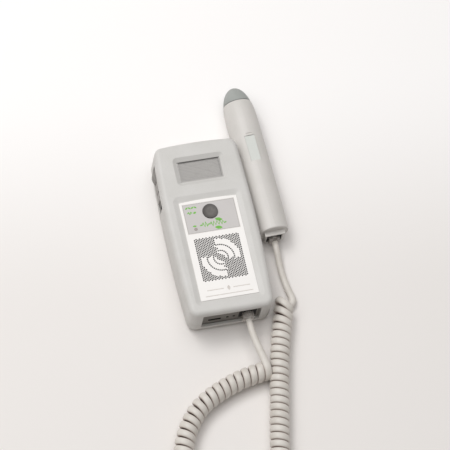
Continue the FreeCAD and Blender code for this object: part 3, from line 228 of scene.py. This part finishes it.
def floorPaper(look):
    mat, tree, shader = startFinish("floorPaper")
    alongX, alongY, _ = axes(tree)
    # painted light fall-off: the floor's colour is darker towards the near side and lighter towards
    # the lamps at the far side
    across = maths(tree, "MULTIPLY_ADD", alongX, 0.12, alongY)
    low, high = look["floorLightFade"]
    lightFade = addNode(tree, "ShaderNodeMapRange", interpolation_type="SMOOTHSTEP")
    tree.links.new(across, lightFade.inputs["Value"])
    lightFade.inputs["From Min"].default_value = low
    lightFade.inputs["From Max"].default_value = high
    colour = blendColours(tree, lightFade.outputs["Result"], look["floorNearShade"], look["floorFarLight"])
    tree.links.new(colour, shader.inputs["Base Color"])
    shader.inputs["Roughness"].default_value = 0.9
    shader.inputs["Specular IOR Level"].default_value = 0.1
    return mat


def makeStudio(look):
    makeLamp("keyLamp", look["keyPlace"], look["keySize"], look["keyPower"])
    makeLamp("leftLamp", look["leftPlace"], look["leftSize"], look["leftPower"])
    makeLamp("topLamp", look["topPlace"], look["topSize"], look["topPower"])
    world = bpy.data.worlds.new("paleSky")
    bpy.context.scene.world = world
    world.use_nodes = True
    sky = world.node_tree.nodes["Background"]
    sky.inputs["Color"].default_value = linear(look["skyColour"])
    sky.inputs["Strength"].default_value = look["skyStrength"]
    half = look["floorSize"] / 2
    mesh = bpy.data.meshes.new("floor")
    corners = [(-half, -half, 0), (half, -half, 0), (half, half, 0), (-half, half, 0)]
    mesh.from_pydata(corners, [], [(0, 1, 2, 3)])
    mesh.materials.append(floorPaper(look))
    floor = bpy.data.objects.new("floor", mesh)
    bpy.context.scene.collection.objects.link(floor)


makeStudio(studioLook)
bpy.context.scene.view_settings.view_transform = "Standard"
print("floor and lamps made")


# mesh helpers

def newPiece(name, points, faces, mat, smooth=True):
    mesh = bpy.data.meshes.new(name)
    mesh.from_pydata([tuple(p) for p in points], [], faces)
    mesh.materials.append(mat)
    if smooth:
        mesh.shade_smooth()
    mesh.update()
    obj = bpy.data.objects.new(name, mesh)
    bpy.context.scene.collection.objects.link(obj)
    return obj


def splineLine(points, steps):
    # the smooth line of a NURBS spline through its control points
    curve = bpy.data.curves.new("line", "CURVE")
    curve.dimensions = "3D"
    curve.resolution_u = steps
    spline = curve.splines.new("NURBS")
    spline.points.add(len(points) - 1)
    for point, where in zip(spline.points, points):
        point.co = (*where, 1)
    spline.order_u = 3
    spline.use_endpoint_u = True
    holder = bpy.data.objects.new("line", curve)
    mesh = bpy.data.meshes.new_from_object(holder)
    line = [v.co.copy() for v in mesh.vertices]
    bpy.data.meshes.remove(mesh)
    bpy.data.objects.remove(holder)
    bpy.data.curves.remove(curve)
    return line


# curly cord: two tails and a coil wound left-handed

cordLook = {
    "wide": 5.66,  # a coiled turn, along the coil
    "thick": 4.2,  # and across it
    "square": 2.7,  # 2 is an oval section, more is squarer
    "coilOuter": 15.5,
    "coilHeight": 8.05,
    "gap": 0.18,
    "startAngle": 118,
    "endAngle": 170,
    "perTurn": 14,  # control points in a turn
    "sides": 16,  # corners of the cord's section
    "steps": 3,  # rings for each control point
    "routeSteps": 12,
    "ease": 15,  # rings over which a tail becomes a turn
    "fanLength": 26,
    "fan": 0.5,  # the last turns lean over
    "openUp": 0.3,  # and stand further apart
    "taper": 0.1,  # the last one draws in
    "liftFrom": (-17.5, -65.2, 0.0),
    "liftTo": (-1.4, -5.3, 0.0),
    "plugWide": 4.7,  # the tails at their plugs
    "tailWide": 6.6,  # and where they meet the coil
    "tailThick": 4.5,
    "pale": (221, 216, 209),
    "shade": (210, 204, 196),
    # painted shade: pinkish down the flanks of a turn and dark between the turns
    "flankShade": (168, 150, 142),
    "groove": (122, 105, 97),
}

unitTail = [
    (13.5, -75.1, 15.5), (13.5, -81.6, 15.5), (14.6, -90.3, 14.7), (16.4, -99.3, 14.2),
    (17.9, -106.9, 14.2), (19.0, -112.3, 14.2), (19.4, -115.6, 14.2),
]
coilRoute = [
    (19.2, -116.0), (2.5, -118.2), (-19.0, -125.6), (-38.0, -136.0), (-51.0, -152.5),
    (-58.5, -171.0), (-62.0, -190.0), (-62.0, -210.3), (-51.8, -227.9), (-34.2, -238.0),
    (-14.0, -238.0), (3.6, -227.9), (13.8, -210.3), (13.8, -190.0), (17.2, -170.5),
    (22.8, -146.5), (28.3, -121.5), (34.3, -97.5), (40.9, -77.0), (45.2, -64.6),
]
probeTail = [
    (41.2, -60.3, 6.4), (42.2, -61.0, 4.2), (43.7, -62.5, 2.8), (45.6, -64.5, 2.7),
    (48.3, -65.3, 3.1), (51.3, -64.4, 3.3), (53.4, -61.5, 3.4), (52.9, -57.0, 3.4),
    (51.6, -51.6, 3.3), (50.8, -45.5, 2.9), (50.0, -37.5, 2.8), (49.5, -28.0, 4.6),
    (49.445, -18.49, 8.0), (49.196, -12.0, 8.0),
]


def helixPoints(look):
    # control points of the coiled part, wound round its route
    level = look["coilHeight"] * mm
    centre = splineLine([(x * mm, y * mm, level) for x, y in coilRoute], look["routeSteps"])
    along = [0.0]
    for before, after in zip(centre, centre[1:]):
        along.append(along[-1] + (after - before).length)
    radius = (look["coilOuter"] - look["thick"]) / 2 * mm
    pitch = (look["wide"] + look["gap"]) * mm
    fanLength = look["fanLength"] * mm
    lean = [max(0.0, 1 - (along[-1] - spot) / fanLength) ** 1.5 for spot in along]
    turned = [0.0]
    headings = []
    for index, spot in enumerate(centre):
        before = centre[max(index - 1, 0)]
        after = centre[min(index + 1, len(centre) - 1)]
        headings.append((after - before).normalized())
    for index in range(1, len(centre)):
        back, ahead = max(index - 3, 0), min(index + 2, len(centre) - 1)
        bend = headings[back].angle(headings[ahead], 0.0) / (along[ahead] - along[back])
        step = (along[index] - along[index - 1]) / (1 + look["openUp"] * lean[index])
        turned.append(turned[-1] + step / pitch * (1 - bend * radius))
    start = look["startAngle"] / 360
    end = look["endAngle"] / 360
    wish = round(turned[-1] + start - end) + end - start  # turns that end at the wished angle
    scale = wish / turned[-1]
    count = round(wish * look["perTurn"])
    lift = 1 / (0.75 + 0.25 * math.cos(2 * math.pi / look["perTurn"]))
    points = []
    spot = 0
    for number in range(count + 1):
        turns = number / count * turned[-1]
        while spot < len(turned) - 2 and turned[spot + 1] < turns:
            spot += 1
        share = (turns - turned[spot]) / (turned[spot + 1] - turned[spot])
        middle = centre[spot].lerp(centre[spot + 1], share)
        heading = headings[spot].lerp(headings[spot + 1], share).normalized()
        right = Vector((heading.y, -heading.x, 0))
        angle = 2 * math.pi * (turns * scale + start)
        left = along[-1] - (along[spot] + share * (along[spot + 1] - along[spot]))
        fan = look["fan"] * (lean[spot] + share * (lean[spot + 1] - lean[spot]))
        drawn = radius * lift * (1 - look["taper"] * max(0.0, 1 - left / (1.4 * pitch)))
        across = math.cos(angle) * drawn
        rise = Vector((0, 0, math.sin(angle) * drawn))
        points.append(middle + right * across - heading * across * fan + rise)
    print("coil turns:", round(wish, 1), "over", round(along[-1] / mm, 1), "mm")
    return points


def squeezed(value, power):
    return math.copysign(abs(value) ** (2 / power), value)


def outwardVectors(line, tangents, first, last):
    # away from the coil's axis in the turns; in the tails it settles upright
    outward = [None] * len(line)
    for i in range(first, last + 1):
        total = Vector()
        for k in range(max(i - 6, first), min(i + 6, last) + 1):
            total -= line[k + 1] - 2 * line[k] + line[k - 1]
        outward[i] = (total - tangents[i] * total.dot(tangents[i])).normalized()
    for i in [*range(first - 1, -1, -1), *range(last + 1, len(line))]:
        carried = outward[i + 1] if i < first else outward[i - 1]
        upright = Vector((0, 0, 1 if carried.z >= 0 else -1))
        carried = carried.lerp(upright, 0.25)
        outward[i] = (carried - tangents[i] * carried.dot(tangents[i])).normalized()
    return outward


def sweepCord(name, line, look, first, last, mat):
    # rings round the line: a slim oval in the tails, a flat rounded band in the turns
    count = len(line)
    tangents = []
    for i in range(count):
        tangents.append((line[min(i + 1, count - 1)] - line[max(i - 1, 0)]).normalized())
    outward = outwardVectors(line, tangents, first, last)
    ease = look["ease"]
    points, faces, paintedShadeCrest = [], [], []
    sides = look["sides"]
    for i in range(count):
        inside = min(1.0, max(0.0, min(i - first + ease, last + ease - i) / (2 * ease)))
        inside = inside * inside * (3 - 2 * inside)
        reach = min(i / first, (count - 1 - i) / (count - 1 - last), 1.0)
        tail = look["plugWide"] + (look["tailWide"] - look["plugWide"]) * reach ** 0.8
        halfWide = (tail + (look["wide"] - tail) * inside) / 2 * mm
        halfThick = (look["tailThick"] + (look["thick"] - look["tailThick"]) * inside) / 2 * mm
        power = 2 + (look["square"] - 2) * inside
        sideways = tangents[i].cross(outward[i])
        for k in range(sides):
            angle = 2 * math.pi * k / sides
            up, over = math.cos(angle), math.sin(angle)
            points.append(line[i] + outward[i] * squeezed(up, power) * halfThick
                          + sideways * squeezed(over, power) * halfWide)
            # this value sets the cord's painted shade: low on the underside and flanks of a turn, a
            # little lower down the sides of the tails
            paintedShadeCrest.append(up * inside + (0.7 + 0.3 * abs(up)) * (1 - inside))
    for i in range(count - 1):
        near, far = i * sides, (i + 1) * sides
        for k in range(sides):
            after = (k + 1) % sides
            faces.append((near + k, near + after, far + after, far + k))
    faces.append(tuple(range(sides)))
    faces.append(tuple(reversed(range((count - 1) * sides, count * sides))))
    obj = newPiece(name, points, faces, mat)
    mark = obj.data.attributes.new("paintedShadeCrest", "FLOAT", "POINT")
    mark.data.foreach_set("value", paintedShadeCrest)
    return obj


def cordFinish(look):
    # pale jacket with painted shade: pinkish down the flanks of a turn, dark between the turns and
    # a little darker down the sides of the tails
    mat, tree, shader = startFinish("cordJacket")
    paintedShadeCrest = addNode(tree, "ShaderNodeAttribute", attribute_name="paintedShadeCrest").outputs["Fac"]
    clouds = spread(tree, noise(tree, 90, 3.0), 0.0, 1.0)
    pale = blendColours(tree, clouds, look["pale"], look["shade"])
    flankShade = blendColours(tree, spread(tree, paintedShadeCrest, 0.0, 1.0, 0.15, 0.72), look["flankShade"], pale)
    tone = blendColours(tree, spread(tree, paintedShadeCrest, 0.0, 1.0, -0.35, 0.15), look["groove"], flankShade)
    tree.links.new(tone, shader.inputs["Base Color"])
    tree.links.new(spread(tree, noise(tree, 500, 2.0), 0.36, 0.5), shader.inputs["Roughness"])
    shader.inputs["Specular IOR Level"].default_value = 0.45
    bump(tree, shader, noise(tree, 1600, 2.0), 0.15, 0.00006)
    return mat


def layCord(look):
    steps = look["steps"]
    firstPart = [Vector(p) * mm for p in unitTail]
    lastPart = [Vector(p) * mm for p in probeTail]
    line = splineLine(firstPart + helixPoints(look) + lastPart, steps)
    first = (len(firstPart) - 1) * steps
    last = len(line) - 2 - (len(lastPart) - 1) * steps
    cord = sweepCord("curlyCord", line, look, first, last, cordFinish(look))
    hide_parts("cord_tail_unit", "cord_coil", "cord_tail_probe")
    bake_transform(cord)


layCord(cordLook)

# plastics and metals

plasticLook = {
    "case": ((209, 207, 204), (204, 202, 198)),
    "back": ((205, 203, 199), (199, 197, 193)),
    "probe": ((214, 210, 206), (208, 205, 200)),
    "tip": ((166, 169, 166), (156, 159, 155)),
    "key": ((172, 168, 164), (162, 158, 154)),
    "strip": ((110, 107, 103), (100, 97, 93)),
    "wheel": ((156, 152, 148), (142, 138, 134)),
    "panel": ((126, 122, 117), (117, 113, 108)),
    "black": ((22, 21, 21), (15, 15, 14)),
    "display": ((152, 149, 146), (146, 143, 140)),
    "seal": ((120, 122, 119), (112, 114, 111)),
    "board": ((28, 92, 52), (22, 78, 44)),
    "cell": ((62, 68, 76), (52, 57, 64)),
    "ceramic": ((205, 196, 172), (196, 186, 160)),
    "resin": ((84, 76, 68), (74, 66, 60)),
    "cloth": ((30, 30, 30), (22, 22, 22)),
    "patch": ((214, 216, 211), (209, 211, 206)),
    "light": ((168, 156, 152), (158, 146, 142)),
    "steel": ((190, 190, 188), (165, 165, 164)),
    "pins": ((24, 23, 22), (18, 17, 16)),
    "gold": ((212, 176, 96), (188, 150, 74)),
}


def moulded(name, colour, shade, rough=(0.42, 0.55), grain=2600, depth=0.35, gloss=0.5):
    # moulded plastic or rubber: cloudy colour, fine spark-eroded grain and uneven gloss
    mat, tree, shader = startFinish(name)
    clouds = spread(tree, noise(tree, 60, 3.0), 0.0, 1.0)
    tone = blendColours(tree, clouds, colour, shade)
    specks = spread(tree, noise(tree, grain * 0.6, 1.0), 0.0, 0.35, 0.62, 0.8)
    darker = tuple(round(v * 0.86) for v in shade)
    tree.links.new(blendColours(tree, specks, tone, darker), shader.inputs["Base Color"])
    tree.links.new(spread(tree, noise(tree, grain * 0.25, 2.0), *rough), shader.inputs["Roughness"])
    shader.inputs["Specular IOR Level"].default_value = gloss
    bump(tree, shader, noise(tree, grain, 2.0), depth, 0.00008)
    return mat


def metal(name, colour, shade, rough=(0.2, 0.36), stretch=(900, 900, 120)):
    mat, tree, shader = startFinish(name)
    brushed = noise(tree, 1.0, 3.0, stretch)
    tone = blendColours(tree, spread(tree, brushed, 0.0, 1.0), colour, shade)
    tree.links.new(tone, shader.inputs["Base Color"])
    tree.links.new(spread(tree, brushed, *rough), shader.inputs["Roughness"])
    shader.inputs["Metallic"].default_value = 1.0
    bump(tree, shader, brushed, 0.2, 0.00003)
    return mat


def facing(tree, axis):
    # 1 where a surface faces along an axis, 0 on the walls beside it
    parts = addNode(tree, "ShaderNodeSeparateXYZ")
    tree.links.new(addNode(tree, "ShaderNodeNewGeometry").outputs["Normal"], parts.inputs[0])
    return maths(tree, "GREATER_THAN", maths(tree, "ABSOLUTE", parts.outputs[axis]), 0.5)


def panelFinish(colours, inside):
    mat, tree, shader = startFinish("panelPlasticShadedOpenings")
    tone = blendColours(tree, spread(tree, noise(tree, 60, 3.0), 0.0, 1.0), *colours)
    # painted shade: the walls of the openings, which don't face along Y, are painted black
    tree.links.new(blendColours(tree, facing(tree, "Y"), inside, tone), shader.inputs["Base Color"])
    tree.links.new(spread(tree, noise(tree, 650, 2.0), 0.42, 0.55), shader.inputs["Roughness"])
    shader.inputs["Specular IOR Level"].default_value = 0.3
    bump(tree, shader, noise(tree, 2600, 2.0), 0.35, 0.00008)
    return mat


dress(["front_housing"], moulded("casePlastic", *plasticLook["case"]))
dress(["rear_housing", "battery_door"], moulded("backPlastic", *plasticLook["back"]))
dress(["probe_body", "probe_end_cap"],
      moulded("probePlastic", *plasticLook["probe"], grain=3200, depth=0.2))
dress(["probe_tip"],
      moulded("tipRubber", *plasticLook["tip"], rough=(0.5, 0.65), grain=2200, depth=0.25))
dress(["side_key_1", "side_key_2"],
      moulded("keyRubber", *plasticLook["key"], rough=(0.5, 0.7), grain=1500))
dress(["control_bezel"], moulded("stripPlastic", *plasticLook["strip"]))
dress(["volume_wheel"], moulded("wheelPlastic", *plasticLook["wheel"], rough=(0.35, 0.45)))
dress(["jack_panel"], panelFinish(plasticLook["panel"], plasticLook["black"][0]))
dress(["power_switch", "board_chips", "key_switches", "headphone_jack", "unit_jack",
       "charge_port", "probe_jack"],
      moulded("blackPlastic", *plasticLook["black"], rough=(0.45, 0.6), depth=0.2, gloss=0.15))
dress(["lcd_frame"], moulded("displayFrame", *plasticLook["display"], depth=0.1))
dress(["tip_seal"], moulded("sealRubber", *plasticLook["seal"], rough=(0.5, 0.65)))
dress(["main_board", "key_board", "probe_board"],
      moulded("boardMask", *plasticLook["board"], rough=(0.3, 0.4)))
dress(["speaker_frame", "speaker_magnet", "board_screws", "volume_pot", "battery_contacts",
       "housing_screws"], metal("platedSteel", *plasticLook["steel"]))
dress(["panel_pins"], metal("darkPins", *plasticLook["pins"], rough=(0.5, 0.6)))
dress(["unit_plug_contacts", "probe_plug_contacts"], metal("goldContacts", *plasticLook["gold"]))
dress(["battery_cells"],
      moulded("cellSleeve", *plasticLook["cell"], rough=(0.25, 0.35), depth=0.1))
dress(["probe_crystals"], moulded("ceramic", *plasticLook["ceramic"], rough=(0.3, 0.4)))
dress(["probe_backing"], moulded("backingResin", *plasticLook["resin"]))
dress(["speaker_cone", "grille_cloth"],
      moulded("darkCloth", *plasticLook["cloth"], rough=(0.85, 0.95), grain=1800, depth=0.8))
dress(["probe_label"],
      moulded("patchFilm", *plasticLook["patch"], rough=(0.3, 0.4), grain=1800, depth=0.1))
print("plastics and metals given")

# power button: dished rubber with painted shade, darker towards its rim

buttonLook = {
    "middle": (110, 106, 103),
    "rim": (82, 78, 76),
    "spot": (0, 11.8),
    "radius": 5.9,
}


def buttonFinish(look):
    mat, tree, shader = startFinish("buttonRubber")
    reach = away(tree, *look["spot"])
    # painted shade: the colour darkens from the middle out to the rim
    rim = spread(tree, reach, 0.0, 1.0, look["radius"] * 0.45 * mm, look["radius"] * mm)
    clouds = spread(tree, noise(tree, 300, 3.0), 0.0, 0.35)
    tone = blendColours(tree, rim, look["middle"], look["rim"])
    tree.links.new(blendColours(tree, clouds, tone, look["rim"]), shader.inputs["Base Color"])
    tree.links.new(spread(tree, noise(tree, 600, 2.0), 0.5, 0.7), shader.inputs["Roughness"])
    bump(tree, shader, noise(tree, 1500, 2.0), 0.6, 0.00008)
    return mat


dress(["power_button"], buttonFinish(buttonLook))
dress(["status_led"],
      moulded("lightPipe", *plasticLook["light"], rough=(0.2, 0.3), depth=0.05))

# display: grey liquid crystal under a clear window with a grey mask along its edges and a dark band
# of painted shade along its far edge

displayLook = {
    "crystal": (183, 180, 177),
    "crystalShade": (177, 174, 171),
    "film": (206, 204, 201),
    "farShade": (58, 55, 52),
    "x": (-17.0, 17.0),
    "y": (39.6, 56.8),
    "farShadeWidth": 0.35,
    "mask": (172, 169, 166),
    "edgeMask": 0.9,
}


def windowFinish(look):
    mat, tree, shader = startFinish("windowGlass")
    edge, farEdge = look["edgeMask"], look["y"][1] - look["farShadeWidth"]
    x = (look["x"][0] + edge, look["x"][1] - edge)
    bare = insideBox(tree, x, (look["y"][0] + edge, farEdge))
    # a dark band of painted shade along the far edge of the window
    far = insideBox(tree, look["x"], (farEdge, look["y"][1]))
    border = blendColours(tree, far, look["mask"], look["farShade"])
    tree.links.new(blendColours(tree, bare, border, look["film"]), shader.inputs["Base Color"])
    tree.links.new(spread(tree, bare, 1.0, 0.16, 0.0, 1.0), shader.inputs["Alpha"])
    tree.links.new(spread(tree, noise(tree, 300, 3.0), 0.16, 0.26), shader.inputs["Roughness"])
    return mat


def crystalFinish(look):
    # faint rows of segments show in the switched-off display
    mat, tree, shader = startFinish("lcdGlass")
    rows = addNode(tree, "ShaderNodeTexWave", wave_type="BANDS", bands_direction="Y")
    rows.inputs["Scale"].default_value = 90
    tree.links.new(place(tree), rows.inputs["Vector"])
    clouds = spread(tree, noise(tree, 40, 3.0), 0.0, 1.0)
    tone = blendColours(tree, clouds, look["crystal"], look["crystalShade"])
    faint = spread(tree, rows.outputs["Fac"], 0.0, 0.25, 0.0, 1.0)
    lined = blendColours(tree, faint, tone, look["crystalShade"])
    tree.links.new(lined, shader.inputs["Base Color"])
    tree.links.new(spread(tree, noise(tree, 500, 2.0), 0.25, 0.35), shader.inputs["Roughness"])
    return mat


dress(["display_window"], windowFinish(displayLook))
dress(["lcd_panel"], crystalFinish(displayLook))
print("button, light and display finished")

# clear modular plugs, a little darker and pinker in streaks

plugLook = {
    "clear": (228, 225, 220),
    "deep": (176, 164, 157),
    "alpha": (0.45, 0.75),
}


def plugFinish(look):
    mat, tree, shader = startFinish("clearPlug")
    streaks = noise(tree, 1.0, 2.0, (900, 160, 500))
    tree.links.new(blendColours(tree, spread(tree, streaks, 0.0, 1.0), look["clear"], look["deep"]),
                   shader.inputs["Base Color"])
    tree.links.new(spread(tree, noise(tree, 700, 2.0), *look["alpha"]), shader.inputs["Alpha"])
    tree.links.new(spread(tree, noise(tree, 400, 3.0), 0.08, 0.2), shader.inputs["Roughness"])
    return mat


dress(["unit_plug", "probe_plug"], plugFinish(plugLook))

# front label: white film with a ruled grey panel and painted shade in the speaker holes

labelLook = {
    "white": (247, 244, 241),
    "panel": (203, 199, 197),
    "rule": (158, 154, 151),
    "halo": (224, 219, 215),
    "panelX": (-20.3, 19.9),
    "panelY": (-4.25, 19.6),
    "ruleWidth": 0.3,
    "haloWidth": 0.55,
    "fieldX": (-20.0, 20.0),
    "fieldY": (-48.0, -7.0),
    "holeWallShade": (74, 71, 69),
}


def labelFinish(look):
    mat, tree, shader = startFinish("labelFilm")
    x, y = look["panelX"], look["panelY"]

    def grown(edge):
        return insideBox(tree, (x[0] - edge, x[1] + edge), (y[0] - edge, y[1] + edge))

    clouds = spread(tree, noise(tree, 50, 2.0), 0.0, 1.0)
    white = blendColours(tree, clouds, look["white"], tuple(v - 3 for v in look["white"]))
    grey = blendColours(tree, clouds, look["panel"], tuple(v - 4 for v in look["panel"]))
    haloed = blendColours(tree, grown(look["ruleWidth"] + look["haloWidth"]), white, look["halo"])
    ruled = blendColours(tree, grown(look["ruleWidth"]), haloed, look["rule"])
    printed = blendColours(tree, grown(0), ruled, grey)
    # painted shade: the walls of the speaker holes are painted dark
    upright = maths(tree, "SUBTRACT", 1.0, facing(tree, "Z"))
    shadedHoleWalls = maths(tree, "MULTIPLY", upright, insideBox(tree, look["fieldX"], look["fieldY"]))
    tone = blendColours(tree, shadedHoleWalls, printed, look["holeWallShade"])
    tree.links.new(tone, shader.inputs["Base Color"])
    tree.links.new(spread(tree, noise(tree, 700, 2.0), 0.36, 0.5), shader.inputs["Roughness"])
    bump(tree, shader, noise(tree, 900, 1.0), 0.08, 0.00004)
    return mat


dress(["front_label"], labelFinish(labelLook))

# printed marks: leaves, a pulse line and faint rules

printLook = {
    "green": (104, 178, 60),
    "greenShade": (124, 190, 80),
    "faint": (206, 199, 193),
    "faintShade": (222, 216, 210),
    "lift": 0.03,
    "leaves": [  # across, along, length, width, turn
        (5.1, 4.3, 6.0, 2.7, -14), (3.8, -2.5, 6.0, 2.7, -10), (-14.5, 1.3, 3.2, 1.5, 0),
        (-17.9, 16.9, 2.6, 1.3, 35), (-15.6, 16.9, 2.6, 1.3, -35), (-13.3, 16.9, 2.6, 1.3, 35),
        (-11.0, 16.9, 2.6, 1.3, -35), (-12.2, 12.5, 2.8, 1.7, 20),
    ],
    "pulse": [
        (-10.2, 1.2), (-8.6, 1.2), (-7.8, 3.2), (-6.6, -0.4), (-5.6, 3.6), (-4.4, -0.2),
        (-3.6, 1.4), (-2.2, 1.4), (-1.4, 3.0), (-0.3, -0.6), (0.9, 3.2), (2.1, 0.0), (3.3, 3.0),
        (4.6, 0.0), (5.8, 3.2), (7.0, -0.2), (8.0, 2.8), (9.0, 0.6), (10.6, 1.4),
    ],
    "smallPulse": [(-17.8, 12.3), (-17.0, 13.4), (-16.1, 11.5), (-15.2, 13.4), (-14.4, 12.3)],
    "pulseWidth": 1.15,
    "rules": [(-18.6, -57.7, 18.9, -57.7), (-16.4, -53.0, -3.4, -53.0), (4.2, -53.0, 17.4, -53.0)],
    "ruleWidth": 0.7,
    "faintLeaf": (0.6, -53.0, 4.2, 2.4, 90),
}


def leafOutline(x, y, reach, width, turn):
    # pointed at both ends, like two arcs laid back to back
    cosine, sine = math.cos(math.radians(turn)), math.sin(math.radians(turn))
    outline = []
    for side in (1, -1):
        for step in range(12):
            share = step / 12
            along = (share - 0.5) * reach * side
            over = math.sin(math.pi * share) ** 0.8 * width / 2 * side
            outline.append((x + along * cosine - over * sine, y + along * sine + over * cosine))
    return outline


def lineOutline(points, width):
    # one flat band along a bent line
    left, right = [], []
    for index, (x, y) in enumerate(points):
        before = points[max(index - 1, 0)]
        after = points[min(index + 1, len(points) - 1)]
        heading = Vector((after[0] - before[0], after[1] - before[1])).normalized() * width / 2
        left.append((x - heading.y, y + heading.x))
        right.append((x + heading.y, y - heading.x))
    return left, right


def printFinish(name, colour, shade):
    mat, tree, shader = startFinish(name)
    clouds = spread(tree, noise(tree, 600, 3.0), 0.0, 1.0)
    tree.links.new(blendColours(tree, clouds, colour, shade), shader.inputs["Base Color"])
    tree.links.new(spread(tree, noise(tree, 900, 2.0), 0.4, 0.55), shader.inputs["Roughness"])
    return mat


def printMarks(name, leaves, lines, width, look, mat):
    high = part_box("front_label")[1][2] + look["lift"] * mm
    points, faces = [], []

    def add(outline):
        start = len(points)
        points.extend((x * mm, y * mm, high) for x, y in outline)
        faces.append(tuple(range(start, len(points))))

    for leaf in leaves:
        add(leafOutline(*leaf))
    for line in lines:
        left, right = lineOutline(line, width)
        for index in range(len(line) - 1):
            add([right[index], right[index + 1], left[index + 1], left[index]])
    marks = newPiece(name, points, faces, mat, smooth=False)
    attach(marks, "case")


greenInk = printFinish("greenInk", printLook["green"], printLook["greenShade"])
faintInk = printFinish("faintInk", printLook["faint"], printLook["faintShade"])
printMarks("greenMarks", printLook["leaves"], [printLook["pulse"], printLook["smallPulse"]],
           printLook["pulseWidth"], printLook, greenInk)
rules = [[(x1, y1), (x2, y2)] for x1, y1, x2, y2 in printLook["rules"]]
printMarks("faintMarks", [printLook["faintLeaf"]], rules,
           printLook["ruleWidth"], printLook, faintInk)
print("label and its marks finished")
